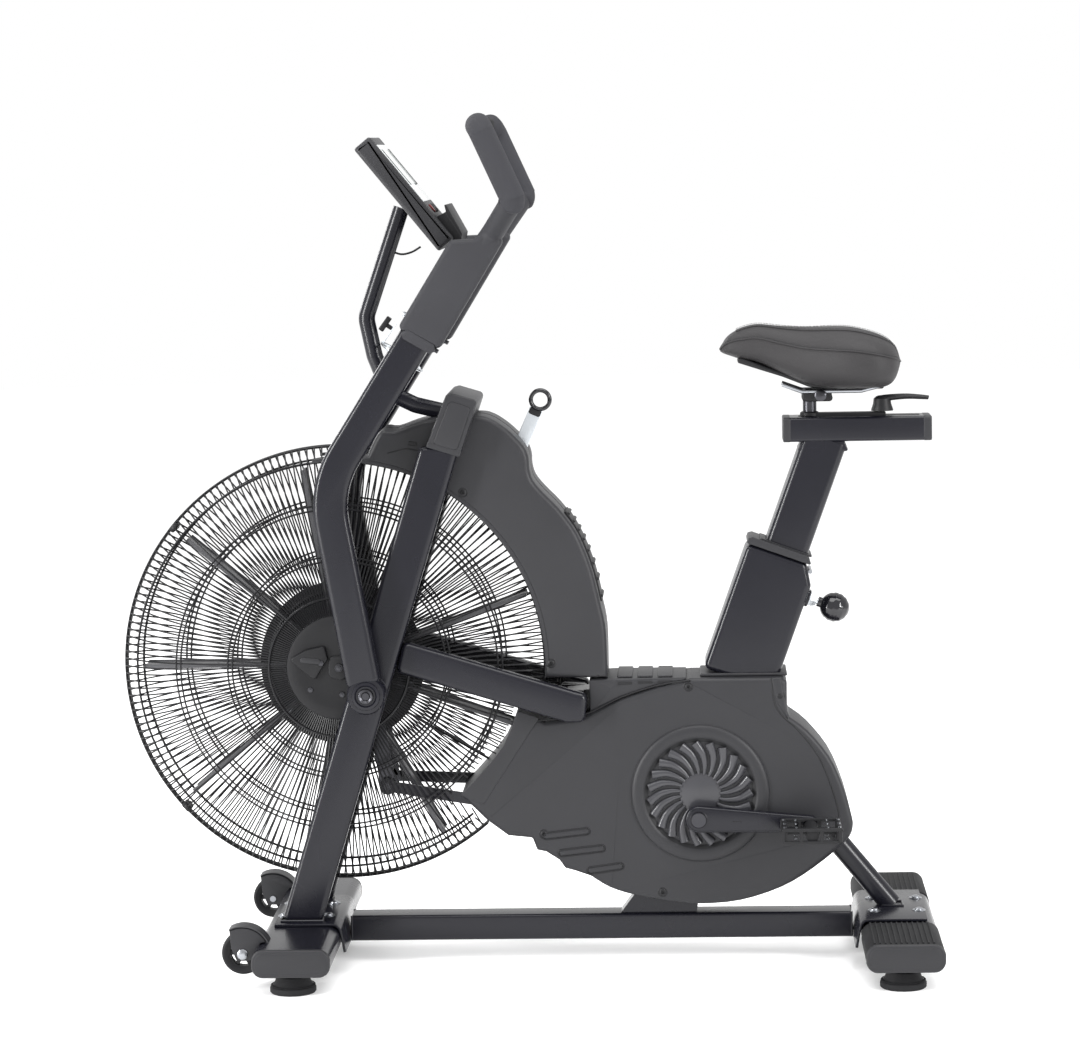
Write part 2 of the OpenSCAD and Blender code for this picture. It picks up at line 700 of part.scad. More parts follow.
module clamp_lever() { color(black) difference() {
        union() {
            translate([clamp_at.x, 0, slider_z[1] + 6.5]) cylinder(d = 34, h = 10);
            translate([clamp_at.x, 0, slider_z[1] + 16.4]) cylinder(d1 = 28, d2 = 20, h = 8);
            translate([clamp_at.x, -8, slider_z[1] + 20]) cube([71, 16, 9]);
        }
        translate([clamp_at.x, 0, slider_z[1]]) cylinder(d = 8, h = 21.2);
    }
}

module pull_pin() { color(black) seat_frame() translate([0, 0, pin_z]) rotate([0, 90, 0]) {
        translate([0, 0, post_w / 2 + 0.7]) cylinder(d = 9.8, h = 60);
        translate([0, 0, 101.5]) sphere(d = 46);
        translate([0, 0, 60]) cylinder(d = 16, h = 20);
    }
}

// ---------- console ----------

stalk_r = 13;
module console_stalk() { color(black) difference() {
        rod([[-96, 0, 852], [-165, 0, 869], [-196, 0, 884], [-216, 0, 912], [-229, 0, 950], [-235.5, 0, 990],
             [-230, 0, 1024], [-178, 0, 1176]], stalk_r);
        console_frame() translate([-console_t, -100, -150]) cube([100, 200, 300]);
    }
}

case_l = 201;
module console_case() { color(charcoal) console_frame() difference() {
        translate([-console_t, -console_w / 2, -case_l / 2]) cube([console_t, console_w, case_l]);
        translate([-3, -console_w / 2 + 14, -28]) cube([10, console_w - 28, 112]);
        translate([-8, start_y, -42]) rotate([0, 90, 0]) cylinder(d = 16.6, h = 20);
    }
}
module console_screen() { color([0.75, 0.78, 0.78]) console_frame()
    translate([-2.7, -console_w / 2 + 14.3, -27.7]) cube([3.2, console_w - 28.6, 111.4]);
}
start_y = -30;
module start_button() { color("firebrick") console_frame()
    translate([-6, start_y, -42]) rotate([0, 90, 0]) cylinder(d = 16, h = 8);
}
module phone_ledge() { color(black) difference() {
        slab([[-123, 1161], [-107, 1168], [-109, 1177], [-106, 1177], [-82, 1132], [-84, 1121], [-112, 1118]], -70, 70);
        slab([[-118, 1155], [-109, 1160], [-89, 1130], [-104, 1130]], -66, 66);
        console_frame() translate([-100, -100, -case_l / 2 - 1]) cube([100 + gap, 200, case_l + 2]);
    }
}

module bottle_cage() { color([0.75, 0.77, 0.78]) difference() {
        union() {
            translate([-186, 0, 941]) rotate([0, 36, 0]) {
                for (z = [0, 57]) translate([0, 0, z]) difference() {
                    cylinder(d = 78, h = 6);
                    translate([0, 0, -1]) cylinder(d = 70, h = 8);
                }
                for (y = [-37, 34]) translate([-4, y, 0]) cube([8, 3, 60]);
                translate([-37, -4, 0]) cube([3, 8, 60]);
                translate([-38, -5, 0]) cube([76, 10, 4]);
                translate([-52, -8, 20]) cube([16, 16, 20]);
            }
        }
        rod([[-216, 0, 912], [-229, 0, 950], [-235.5, 0, 990], [-230, 0, 1024], [-178, 0, 1176]], stalk_r + 0.1);
    }
}

// Screws, one size, in the housings and the shroud
module fasteners() { color(steel) each_side() {
        for (at = [[250, 434], [392, 417], [206, 113], [23, 206], [-90, 738], [40, 473], [470, 200]])
            pin(at, 4.6, housing_half, housing_half + 2.2);
    }
}

// The resistance lever: a spring-steel strip with a finger ring
lever_foot = [-29, 746];
lever_ring = [28, 874];
module resistance_lever() { color(steel) {
        along = unit(lever_ring - lever_foot);
        difference() {
            union() {
                slab(strip([lever_foot, lever_ring - 14 * along], 21), -1.5, 1.5);
                pin(lever_foot, 14, -1.5, 1.5);
            }
            pin(lever_foot, 4.05, -3, 3);
        }
    }
    color(black) difference() {
        pin(lever_ring, 18, -5, 5);
        pin(lever_ring, 11, -6, 6);
    }
}

base_rail();
front_foot_bar();
rear_foot_bar();
foot_bar_caps();
rear_treads();
foot_bar_plates();
levelling_feet();
left() upright();  // upright_left
upright();  // upright_right
left() side_rail();  // side_rail_left
side_rail();  // side_rail_right
inner_frame();
rear_brace();
seat_tube();
seat_collar();
left() housing();  // housing_left
housing();  // housing_right
foot_tray();
turbine_covers();
left() shroud();  // shroud_left
shroud();  // shroud_right
vent_fins();
crossbar_cover();
left() guard_half();  // guard_left
guard_half();  // guard_right
hub_covers();
axle_plates();
fan_axle();
bearings();
drive_belt();
fasteners();
wheel_brackets();
console_stalk();
console_case();
console_screen();
phone_ledge();
bottle_cage();
start_button();
fan_rotor();
fan_pulley();
crank_axle();
crank_pulley();
left() crank_arm(1);  // crank_arm_left
crank_arm(-1);  // crank_arm_right
left() pedal(1);  // pedal_left
pedal(-1);  // pedal_right
left() transport_wheel();  // transport_wheel_left
transport_wheel();  // transport_wheel_right
left() arm();  // arm_left
arm();  // arm_right
left() grip();  // grip_left
grip();  // grip_right
left() drive_rod(-1);  // drive_rod_left
drive_rod(1);  // drive_rod_right
seat_post();
seat_carriage();
saddle();
clamp_lever();
pull_pin();
resistance_lever();
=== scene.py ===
"""The air bike's looks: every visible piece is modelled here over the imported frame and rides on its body."""
import bpy
import json
import math
from mathutils import Matrix, Vector


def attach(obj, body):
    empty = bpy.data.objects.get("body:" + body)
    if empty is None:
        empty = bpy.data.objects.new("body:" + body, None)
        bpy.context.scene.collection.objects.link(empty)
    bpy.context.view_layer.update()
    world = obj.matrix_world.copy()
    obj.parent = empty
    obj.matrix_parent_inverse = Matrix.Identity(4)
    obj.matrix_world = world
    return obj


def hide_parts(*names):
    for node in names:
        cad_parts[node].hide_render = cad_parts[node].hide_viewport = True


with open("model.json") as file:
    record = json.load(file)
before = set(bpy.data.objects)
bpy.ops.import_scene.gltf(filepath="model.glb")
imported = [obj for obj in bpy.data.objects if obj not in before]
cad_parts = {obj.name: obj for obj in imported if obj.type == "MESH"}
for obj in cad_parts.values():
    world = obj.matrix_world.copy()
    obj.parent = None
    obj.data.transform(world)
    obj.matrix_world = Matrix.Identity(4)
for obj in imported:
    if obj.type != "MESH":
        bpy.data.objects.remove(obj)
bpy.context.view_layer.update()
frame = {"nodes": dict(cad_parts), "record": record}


# Axes that run side to side, as (x, z), and heights, all in millimetres
FAN, PIVOT, CRANK, TURBINE, WHEEL = (-287, 470), (-240, 436), (263, 232), (266, 268), (-428, 57)
FRONT, REAR, BAR_TOP = -350, 568, 74
HALF = 62                   # half the width of the housings
TUBE_IN, TUBE_OUT = 65, 93  # the inner and outer faces of the masts and side rails
FLOOR_RADIUS = 14           # metres


# ---------- outlines ----------

def polar(c, r, a):
    return (c[0] + r * math.cos(math.radians(a)), c[1] + r * math.sin(math.radians(a)))


def arc(c, r, a0, a1, n=16):
    return [polar(c, r, a0 + (a1 - a0) * i / n) for i in range(n + 1)]


def fillet(points, radius, steps=5, closed=True):
    """Rounds the corners of an outline or a path, in 2-D or 3-D."""
    pts = [Vector(p) for p in points]
    n, out = len(pts), []
    for i, b in enumerate(pts):
        if not closed and i in (0, n - 1):
            out.append(b)
            continue
        u, v = pts[i - 1] - b, pts[(i + 1) % n] - b
        half = max(0.05, u.angle(v) / 2)
        if half > 1.55:
            out.append(b)
            continue
        cut = min(radius / math.tan(half), 0.48 * u.length, 0.48 * v.length)
        r = cut * math.tan(half)
        u, v = u.normalized(), v.normalized()
        centre = b + (u + v).normalized() * r / math.sin(half)
        p, q = b + u * cut - centre, b + v * cut - centre
        out += [centre + (p * (steps - k) + q * k).normalized() * r for k in range(steps + 1)]
    return [tuple(p) for p in out]


def curve(points, steps=5, closed=False):
    """A smooth line through points."""
    pts = [Vector(p) for p in points]
    n, out = len(pts), []
    for i in range(n if closed else n - 1):
        a, b, c, d = (pts[(i + k) % n] if closed else pts[min(max(i + k, 0), n - 1)] for k in (-1, 0, 1, 2))
        for s in range(steps):
            t = s / steps
            out.append(0.5 * (2 * b + (c - a) * t + (2 * a - 5 * b + 4 * c - d) * t * t
                              + (3 * b - a - 3 * c + d) * t ** 3))
    return [tuple(p) for p in out] + ([] if closed else [tuple(pts[-1])])


def strip(path, w):
    """The outline of a bar of width w along an x, z path."""
    pts = [Vector(p) for p in path]
    a, b = [], []
    for i, p in enumerate(pts):
        before = (pts[max(i, 1)] - pts[max(i, 1) - 1]).normalized()
        after = (pts[min(i + 1, len(pts) - 1)] - pts[min(i, len(pts) - 2)]).normalized()
        d = (before + after).normalized()
        n = Vector((-d.y, d.x)) * w / 2 / max(0.4, d.dot(after))
        a.append(tuple(p + n))
        b.append(tuple(p - n))
    return a + b[::-1]


def clearance(p, outline):
    """How near a point is to an outline."""
    best = 1e9
    for (x0, z0), (x1, z1) in zip(outline, outline[1:] + outline[:1]):
        dx, dz = x1 - x0, z1 - z0
        t = max(0.0, min(1.0, ((p[0] - x0) * dx + (p[1] - z0) * dz) / (dx * dx + dz * dz + 1e-9)))
        best = min(best, (p[0] - x0 - t * dx) ** 2 + (p[1] - z0 - t * dz) ** 2)
    return math.sqrt(best)


def inset(outline, d):
    """The outline moved in by d. Where it would cross itself, its points lie in line between good ones."""
    outline = [tuple(p) for p in outline]
    if not d:
        return outline
    n = len(outline)
    area = sum(outline[i][0] * outline[(i + 1) % n][1] - outline[(i + 1) % n][0] * outline[i][1]
               for i in range(n))
    s = 1 if area > 0 else -1
    out = []
    for i in range(n):
        p, q, r = (Vector(outline[(i + k) % n]) for k in (-1, 0, 1))
        u, v = (q - p).normalized(), (r - q).normalized()
        a, b = Vector((-u.y, u.x)) * s, Vector((-v.y, v.x)) * s
        out.append(q + (a + b) * d / max(0.35, 1 + a.dot(b)))
    good = [i for i in range(n) if clearance(out[i], outline) > 0.96 * abs(d)]
    if not good:
        return [tuple(p) for p in out]
    for k, i in enumerate(good):
        j = good[(k + 1) % len(good)]
        gap = (j - i) % n
        for m in range(1, gap):
            out[(i + m) % n] = out[i].lerp(out[j], m / gap)
    return [tuple(p) for p in out]


def rectangle(w, h, r, steps=4):
    return fillet([(-w / 2, -h / 2), (-w / 2, h / 2), (w / 2, h / 2), (w / 2, -h / 2)], r, steps)


# ---------- solids, as (points, faces) ----------

def prism(outline, y0, y1, r=2.0, r0=None, steps=3):
    """A plate of an x, z outline from y0 to y1; r rounds its edge at y1 and r0 its edge at y0."""
    r0 = r if r0 is None else r0
    turns = [math.pi / 2 * k / steps for k in range(steps + 1)]
    rings = [(r0 * (1 - math.sin(a)), y0 + r0 * (1 - math.cos(a))) for a in turns] if r0 else [(0, y0)]
    rings += [(r * (1 - math.cos(a)), y1 - r + r * math.sin(a)) for a in turns] if r else [(0, y1)]
    n = len(outline)
    points = [(p[0], y, p[1]) for d, y in rings for p in inset(outline, d)]
    faces = [(k * n + i, k * n + (i + 1) % n, (k + 1) * n + (i + 1) % n, (k + 1) * n + i)
             for k in range(len(rings) - 1) for i in range(n)]
    return points, faces + [tuple(range(n))[::-1], tuple((len(rings) - 1) * n + i for i in range(n))]


def tube(path, r, sides=14, closed=False):
    """A round bar along a path; r is one radius or one for each point."""
    pts = [Vector(p) for p in path]
    n = len(pts)
    radii = r if isinstance(r, (list, tuple)) else [r] * n
    normal, points = None, []
    for i, p in enumerate(pts):
        ahead = pts[(i + 1) % n] if closed else pts[min(i + 1, n - 1)]
        behind = pts[i - 1] if closed else pts[max(i - 1, 0)]
        d = (ahead - behind).normalized()
        if normal is None:
            normal = d.orthogonal().normalized()
        normal = (normal - d * normal.dot(d)).normalized()
        other = d.cross(normal)
        points += [tuple(p + radii[i] * (math.cos(a) * normal + math.sin(a) * other))
                   for a in (2 * math.pi * k / sides for k in range(sides))]
    faces = [(i * sides + k, i * sides + (k + 1) % sides, ((i + 1) % n) * sides + (k + 1) % sides,
              ((i + 1) % n) * sides + k) for i in range(n if closed else n - 1) for k in range(sides)]
    if not closed:
        faces += [tuple(range(sides))[::-1], tuple((n - 1) * sides + k for k in range(sides))]
    return points, faces


def lathe(profile, at=(0, 0), steps=64, closed=False, a0=0, a1=360):
    """Turns a profile of (radius, y) about a side-to-side axis through at."""
    full = a1 - a0 >= 360
    m, n = len(profile), steps if full else steps + 1
    points = [(at[0] + r * math.cos(a), y, at[1] + r * math.sin(a))
              for a in (math.radians(a0 + (a1 - a0) * i / steps) for i in range(n)) for r, y in profile]
    faces = [(i * m + k, i * m + (k + 1) % m, ((i + 1) % n) * m + (k + 1) % m, ((i + 1) % n) * m + k)
             for i in range(n if full else n - 1) for k in range(m if closed else m - 1)]
    return points, faces


def upright_lathe(profile, x, y):
    """Turns a profile of (radius, z) about a vertical axis."""
    points, faces = lathe(profile, steps=40)
    return [(x + p[0], y + p[2], p[1]) for p in points], faces


def bar(a, b, w, h, r=2, side=(0, 1, 0), end=1.0):
    """A rectangular bar from a to b, w wide along side, with rounded corners."""
    a, b = Vector(a), Vector(b)
    along = (b - a).normalized()
    side = Vector(side)
    side = (side - along * side.dot(along)).normalized()
    points, faces = prism(rectangle(w, h, r), 0, (b - a).length, end)
    third = side.cross(along)
    return [tuple(a + side * p[0] + along * p[1] + third * p[2]) for p in points], faces


def screw(x, z, y, r=5):
    """A button head with a hexagon socket, facing away from the middle."""
    head = lathe([(0.01, y), (r, y), (r, y + r * 0.25), (r * 0.7, y + r * 0.45), (r * 0.5, y + r * 0.5)],
                 (x, z), 20)
    socket = lathe([(r * 0.5, y + r * 0.5), (r * 0.48, y + r * 0.15), (0.01, y + r * 0.15)], (x, z), 6)
    return [head, socket]


def moved(solid, matrix):
    return [tuple(matrix @ Vector(p)) for p in solid[0]], solid[1]


def mirrored(solid):
    return [(p[0], -p[1], p[2]) for p in solid[0]], [f[::-1] for f in solid[1]]


def tilted(x, z, angle):
    return Matrix.Translation((x, 0, z)) @ Matrix.Rotation(math.radians(angle), 4, "Y")


SEAT = tilted(338, 461, 20)
STAND = Matrix.Rotation(math.radians(90), 4, "X")  # stands a side-to-side solid upright
CONSOLE = tilted(-157, 1204, -38.8)


# ---------- materials ----------

def material(name, colour, rough=0.45, metal=0.0, grain=0.04, scale=400.0, mottle=0.12, stretch=(1, 1, 1),
             spec=0.22):
    """A surface with its own fine texture: colour mottling, uneven gloss and a bump."""
    m = bpy.data.materials.new(name)
    m.use_nodes = True
    n, link = m.node_tree.nodes, m.node_tree.links.new
    shader = n["Principled BSDF"]
    shader.inputs["Metallic"].default_value = metal
    shader.inputs["Specular IOR Level"].default_value = spec
    where, mapping = n.new("ShaderNodeTexCoord"), n.new("ShaderNodeMapping")
    mapping.inputs["Scale"].default_value = stretch
    link(where.outputs["Object"], mapping.inputs["Vector"])
    fine, broad = n.new("ShaderNodeTexNoise"), n.new("ShaderNodeTexNoise")
    for texture, size in ((fine, scale), (broad, 9.0)):
        texture.inputs["Scale"].default_value = size
        texture.inputs["Detail"].default_value = 3.0
        link(mapping.outputs["Vector"], texture.inputs["Vector"])
    tint = n.new("ShaderNodeMix")
    tint.data_type = "RGBA"
    tint.inputs["A"].default_value = tuple(c * (1 - mottle) for c in colour) + (1,)
    tint.inputs["B"].default_value = tuple(min(1, c * (1 + mottle)) for c in colour) + (1,)
    link(broad.outputs["Fac"], tint.inputs["Factor"])
    link(tint.outputs["Result"], shader.inputs["Base Color"])
    gloss = n.new("ShaderNodeMapRange")
    gloss.inputs["To Min"].default_value = max(0.02, rough - 0.06)
    gloss.inputs["To Max"].default_value = min(1.0, rough + 0.06)
    link(broad.outputs["Fac"], gloss.inputs["Value"])
    link(gloss.outputs["Result"], shader.inputs["Roughness"])
    bump = n.new("ShaderNodeBump")
    bump.inputs["Strength"].default_value = grain
    bump.inputs["Distance"].default_value = 0.002
    link(fine.outputs["Fac"], bump.inputs["Height"])
    link(bump.outputs["Normal"], shader.inputs["Normal"])
    return m


PAINT = material("satin_paint", (0.005, 0.005, 0.008), 0.27, grain=0.03, scale=600, spec=0.3)
PLASTIC = material("charcoal_plastic", (0.017, 0.017, 0.019), 0.45, grain=0.10, scale=900, spec=0.26)
DARK = material("dark_plastic", (0.007, 0.007, 0.008), 0.5, grain=0.08, scale=800, spec=0.25)
WIRE = material("wire_enamel", (0.005, 0.005, 0.006), 0.38, grain=0.02, scale=500)
BLADE = material("blade_enamel", (0.07, 0.07, 0.075), 0.35, grain=0.04, scale=300, spec=0.4)
TURBINE_VANE = material("vane_plastic", (0.03, 0.03, 0.034), 0.25, grain=0.03, scale=500, spec=0.4)
FOAM = material("grip_foam", (0.028, 0.028, 0.032), 0.85, grain=0.5, scale=1300)
BOOT = material("rubber_boot", (0.021, 0.021, 0.024), 0.6, grain=0.15, scale=900)
RUBBER = material("black_rubber", (0.009, 0.009, 0.01), 0.7, grain=0.25, scale=500)
VINYL = material("saddle_vinyl", (0.022, 0.021, 0.022), 0.55, grain=0.35, scale=700, mottle=0.2)
THREAD = material("saddle_thread", (0.03, 0.03, 0.032), 0.8, grain=0.4, scale=2500, stretch=(1, 3, 1))
GLOSS = material("gloss_black", (0.006, 0.006, 0.008), 0.12, grain=0.01, scale=300, spec=0.5)
ZINC = material("zinc_plate", (0.62, 0.65, 0.68), 0.32, 1.0, grain=0.08, scale=160, mottle=0.08)
STEEL = material("bright_steel", (0.3, 0.31, 0.33), 0.3, 1.0, grain=0.05, scale=500, stretch=(1, 1, 6))
BOLT = material("black_steel", (0.05, 0.05, 0.055), 0.3, 1.0, grain=0.05, scale=500, stretch=(1, 1, 6))
SCREEN = material("display_film", (0.48, 0.5, 0.5), 0.08, grain=0.01, scale=200, spec=0.5)
LCD = material("display_glass", (0.42, 0.45, 0.44), 0.1, grain=0.02, scale=900, spec=0.5)
RED = material("red_plastic", (0.09, 0.008, 0.008), 0.3, grain=0.04, scale=600)
FLOOR = material("studio_floor", (0.94, 0.94, 0.94), 0.95, grain=0.03, scale=60, mottle=0.005, spec=0.1)
FINISH = {"satin_black": PAINT, "guard_wire": WIRE, "charcoal_plastic": PLASTIC, "vent_plastic": DARK,
          "gloss_knob": GLOSS, "tread_rubber": RUBBER, "grip_foam": FOAM, "bright_steel": BOLT,
          "cage_wire": ZINC, "screen_film": SCREEN, "red_button": RED, "saddle_cover": VINYL}


def piece(name, parts, body="frame", nodes=(), sharp=38):
    """One object from solids; parts is a list of (material, solid, solid, ...)."""
    points, faces, index, finishes = [], [], [], []
    for finish, *solids in parts:
        if finish not in finishes:
            finishes.append(finish)
        for solid in solids:
            base = len(points)
            points += [tuple(c * 0.001 for c in p) for p in solid[0]]
            faces += [tuple(base + k for k in f) for f in solid[1]]
            index += [finishes.index(finish)] * len(solid[1])
    mesh = bpy.data.meshes.new(name)
    mesh.from_pydata(points, [], faces)
    for finish in finishes:
        mesh.materials.append(finish)
    mesh.polygons.foreach_set("material_index", index)
    mesh.polygons.foreach_set("use_smooth", [len(f) < 5 for f in faces])
    mesh.validate()
    mesh.update()
    mesh.set_sharp_from_angle(angle=math.radians(sharp))
    obj = bpy.data.objects.new(name, mesh)
    bpy.context.scene.collection.objects.link(obj)
    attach(obj, body)
    if nodes:
        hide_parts(*nodes)
    return obj


def pair(name, build, body=None, nodes=(), sharp=38):
    """A left and a right piece: build(side) gives the parts for the right side, with y positive."""
    out = []
    for side in ("left", "right"):
        parts = build(side)
        if side == "left":
            parts = [(p[0], *[mirrored(s) for s in p[1:]]) for p in parts]
        out.append(piece(f"{name}_{side}", parts, (body or "frame").format(side),
                         [n.format(side) for n in nodes], sharp))
    return out


def both(solids):
    """The solids and their mirror images."""
    return list(solids) + [mirrored(s) for s in solids]


# ---------- base ----------

def carved(solid, *cutters):
    """The solid with other solids cut out of it."""
    shapes = []
    for points, faces in (solid, *cutters):
        mesh = bpy.data.meshes.new("shape")
        mesh.from_pydata([tuple(c * 0.001 for c in p) for p in points], [], faces)
        shapes.append(bpy.data.objects.new("shape", mesh))
        bpy.context.scene.collection.objects.link(shapes[-1])
    for shape in shapes[1:]:
        cut = shapes[0].modifiers.new("cut", "BOOLEAN")
        cut.object, cut.operation, cut.solver = shape, "DIFFERENCE", "EXACT"
    result = shapes[0].evaluated_get(bpy.context.evaluated_depsgraph_get()).to_mesh()
    carving = [tuple(c * 1000 for c in v.co) for v in result.vertices], [tuple(f.vertices)
                                                                         for f in result.polygons]
    for shape in shapes:
        bpy.data.objects.remove(shape)
    return carving


def foot_bars():
    section = fillet([(-59, 32), (-59, 74), (59, 74), (59, 32)], 17, 7)

    def shifted(x, d=0):
        return [(p[0] + x, p[1]) for p in inset(section, d)]

    recesses = both([prism(arc(WHEEL, 35.5, 0, 350, 35), 187, 213, 0)])
    front = carved(prism(shifted(FRONT), -265, 265, 0), *recesses)
    for x, name, bar_solid in ((FRONT, "front", front), (REAR, "rear",
                                                         prism(shifted(REAR, 1.5), -265, 265, 0))):
        piece(f"{name}_bar", [(PAINT, bar_solid)], nodes=[f"{name}_foot_bar"])
        caps = [prism(shifted(x), 265, 270, 2.5, 0), prism(shifted(x, 5), 269.4, 270.6, 0.8, 0)]
        seam = [prism(shifted(x, -0.3), 262.6, 265, 0.5)]
        piece(f"{name}_caps", [(PLASTIC, *both(caps)), (DARK, *both(seam))],
              nodes=["foot_bar_caps"] if name == "front" else [])
    grooves = [tube([(REAR - 46 + 8 * k, 116, 74.6), (REAR - 46 + 8 * k, 258, 74.6)], 1.6, 6)
               for k in range(12)]
    shell = prism(shifted(REAR), 112, 265, 1.2)
    piece("rear_treads", [(RUBBER, *both([shell] + grooves))], nodes=["rear_treads"])


def floor_rail():
    rail = bar((FRONT + 70, 0, 53), (REAR - 70, 0, 53), 52, 40, 5)
    welds = [tube([(x, y, 34), (x, y, 73)], 1.8, 8) for x in (FRONT + 70, REAR - 70) for y in (-25, 25)]
    piece("floor_rail", [(PAINT, rail, *welds)], nodes=["base_rail"])


def plates():
    path = fillet([(-42, 76.6), (57, 76.6), (62, 58), (66, 34)], 14, 8, False)
    parts, heads = [], []
    for x, s in ((FRONT, 1), (REAR, -1)):
        parts.append(prism([(x + s * p[0], p[1]) for p in strip(path, 4)][::s], -108, 108, 0.8))
        for dx, y in ((-33, -45), (-33, 45), (36, -45), (36, 45)):
            head = upright_lathe([(0.01, 83), (3.5, 82.8), (6, 81.5), (6.5, 78.6)], x + s * dx, y)
            heads += [head, upright_lathe([(10, 78.5), (10, 79.6), (5, 79.8)], x + s * dx, y)]
    piece("foot_plates", [(PAINT, *parts), (STEEL, *heads)], nodes=["foot_bar_plates"])


def feet():
    parts, stems = [], []
    for x in (FRONT - 2, REAR - 2):
        pad = [(0.01, 0), (33, 0), (35, 2), (35, 8), (33.5, 10), (31, 11), (27, 18), (25.4, 25), (23, 26.4),
               (0.01, 26.4)]
        ridge = [(33, 10.5), (34, 11.6), (33, 12.6), (31, 12.6)]
        parts += [upright_lathe(pad, x, 220), upright_lathe(ridge, x, 220)]
        thread = [(5.6 + 0.5 * (k % 2), 26 + 0.55 * k) for k in range(12)]
        stems += [upright_lathe(thread, x, 220), upright_lathe([(0.01, 27), (11, 27), (11, 29.4),
                                                                (5, 29.4)], x, 220)]
    piece("feet", [(RUBBER, *both(parts)), (ZINC, *both(stems))], nodes=["levelling_feet"])


def wheels():
    def wheel(side):
        mid = 200
        tyre = [(23, mid - 10), (29, mid - 11.6), (32, mid - 9.5), (33, mid - 5), (33, mid + 5),
                (32, mid + 9.5), (29, mid + 11.6), (23, mid + 10)]
        hub = [(5.1, mid - 12), (11, mid - 12), (11, mid + 12), (5.1, mid + 12)]
        rim = [(20, mid - 8), (23.5, mid - 9), (23.5, mid + 9), (20, mid + 8)]
        spokes = [prism(strip([polar(WHEEL, 10, a), polar(WHEEL, 21, a)], 6), mid - 6, mid + 6, 1)
                  for a in range(0, 360, 60)]
        return [(RUBBER, lathe(tyre, WHEEL, 48, True)), (DARK, lathe(hub, WHEEL, 24, True),
                                                         lathe(rim, WHEEL, 40, True), *spokes)]

    def bracket(side):
        hood = lathe([(43, 184), (43, 216), (42, 217), (40, 217), (40, 183), (42, 183)], WHEEL, 20, True,
                     14, 118)
        cheek = fillet(arc(WHEEL, 42.6, 16, 117, 8) + [(-445, 66), (-437, 47), (-419, 47), (-410, 49),
                                                       (-409.5, 60), (-400, 74.5), (-392, 75.5)], 1.5)
        nut = lathe([(0.01, 220), (6, 220), (8, 218.5), (8, 217)], WHEEL, 24)
        return [(PLASTIC, hood, prism(cheek, 183, 186.4, 0.8), prism(cheek, 213.6, 217, 1)), (STEEL, nut),
                (STEEL, tube([(WHEEL[0], 181, WHEEL[1]), (WHEEL[0], 218, WHEEL[1])], 4.9))]

    pair("transport_wheel", wheel, "wheel_{}", ["transport_wheel_{}"])
    left, right = pair("wheel_bracket", bracket)
    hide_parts("wheel_brackets")


# ---------- frame ----------

def masts():
    def mast(side):
        body = [(-382, 79), (-320, 79), (-92.4, 811), (-153.4, 811)]
        weld = tube([(-383, 66, 80), (-319, 66, 80), (-319, 92, 80), (-383, 92, 80)], 2.2, 8, True)
        boss = lathe([(16.2, 64.6), (27, 64.6), (29, 66.5), (29, 94.5), (27, 96.4), (16.2, 96.4)], PIVOT,
                     48, True)
        return [(PAINT, prism(fillet(body, 9, 5), TUBE_IN, TUBE_OUT, 8, steps=5), weld, boss)]

    def rail(side):
        top = [(-184, 513), (76, 432.5), (95.5, 427.5), (91, 385), (63, 384.5), (-197.5, 465.5)]
        end = fillet([(50, 428), (92, 424), (88, 385.5), (50, 394)], 6)
        inner = fillet([(50, 404.5), (50, 426), (90, 426), (90, 404.5)], 3)
        return [(PAINT, prism(fillet(top, 10, 6), TUBE_IN, TUBE_OUT, 8, steps=5), prism(end, 38.6, 74, 4),
                 prism(inner, 26.1, 40, 2))]

    pair("mast", mast, None, ["upright_{}"])
    pair("side_rail", rail, None, ["side_rail_{}"])


def brace():
    lean = fillet([(330, 0, 362), (470, 0, 189), (560, 0, 79)], 60, 6, False)
    foot = tube([(546, -17, 79.5), (578, -17, 79.5), (578, 17, 79.5), (546, 17, 79.5)], 2, 8, True)
    piece("brace", [(PAINT, tube(lean, 17, 28), foot)], nodes=["rear_brace"])


def seat_column():
    column = [(-60, -24), (-60, 181), (36, 181), (54, 150), (54, -24)]
    sleeve = prism(rectangle(76, 72, 4), -105, 178, 1)
    hollow = moved(prism(rectangle(69, 65, 10), -130, 210, 0), STAND)
    tube_body = moved(carved(prism(fillet(column, 10, 5), -42, 42, 9, steps=5), hollow), SEAT)
    inner = moved(carved(moved(sleeve, STAND), hollow), SEAT)
    skirt = [carved(bar((268, 0, 449), (402, 0, 449), 92, 5, 2, end=2), moved(hollow, SEAT))]
    nut = moved(bar((53.8, 0, 127.4), (60, 0, 127.4), 26, 26, 6), SEAT)
    piece("seat_tube", [(PAINT, tube_body, inner, nut), (PLASTIC, *skirt)], nodes=["seat_tube"])
    collar = fillet([(-61.5, 181), (-61.5, 189), (-56, 192.8), (30, 192.8), (38, 189), (44, 181)], 2, 3)
    lip = fillet([(-44, 192), (-44, 195), (40, 195), (40, 192)], 1, 2)
    pinch = moved(tube([(46, -30, 170), (46, 30, 170)], 3.2), SEAT)
    piece("seat_collar", [(PLASTIC, moved(carved(prism(collar, -43.5, 43.5, 2, steps=4), hollow), SEAT),
                           moved(carved(prism(lip, -37, 37, 3), hollow), SEAT)), (STEEL, pinch)],
          nodes=["seat_collar"])


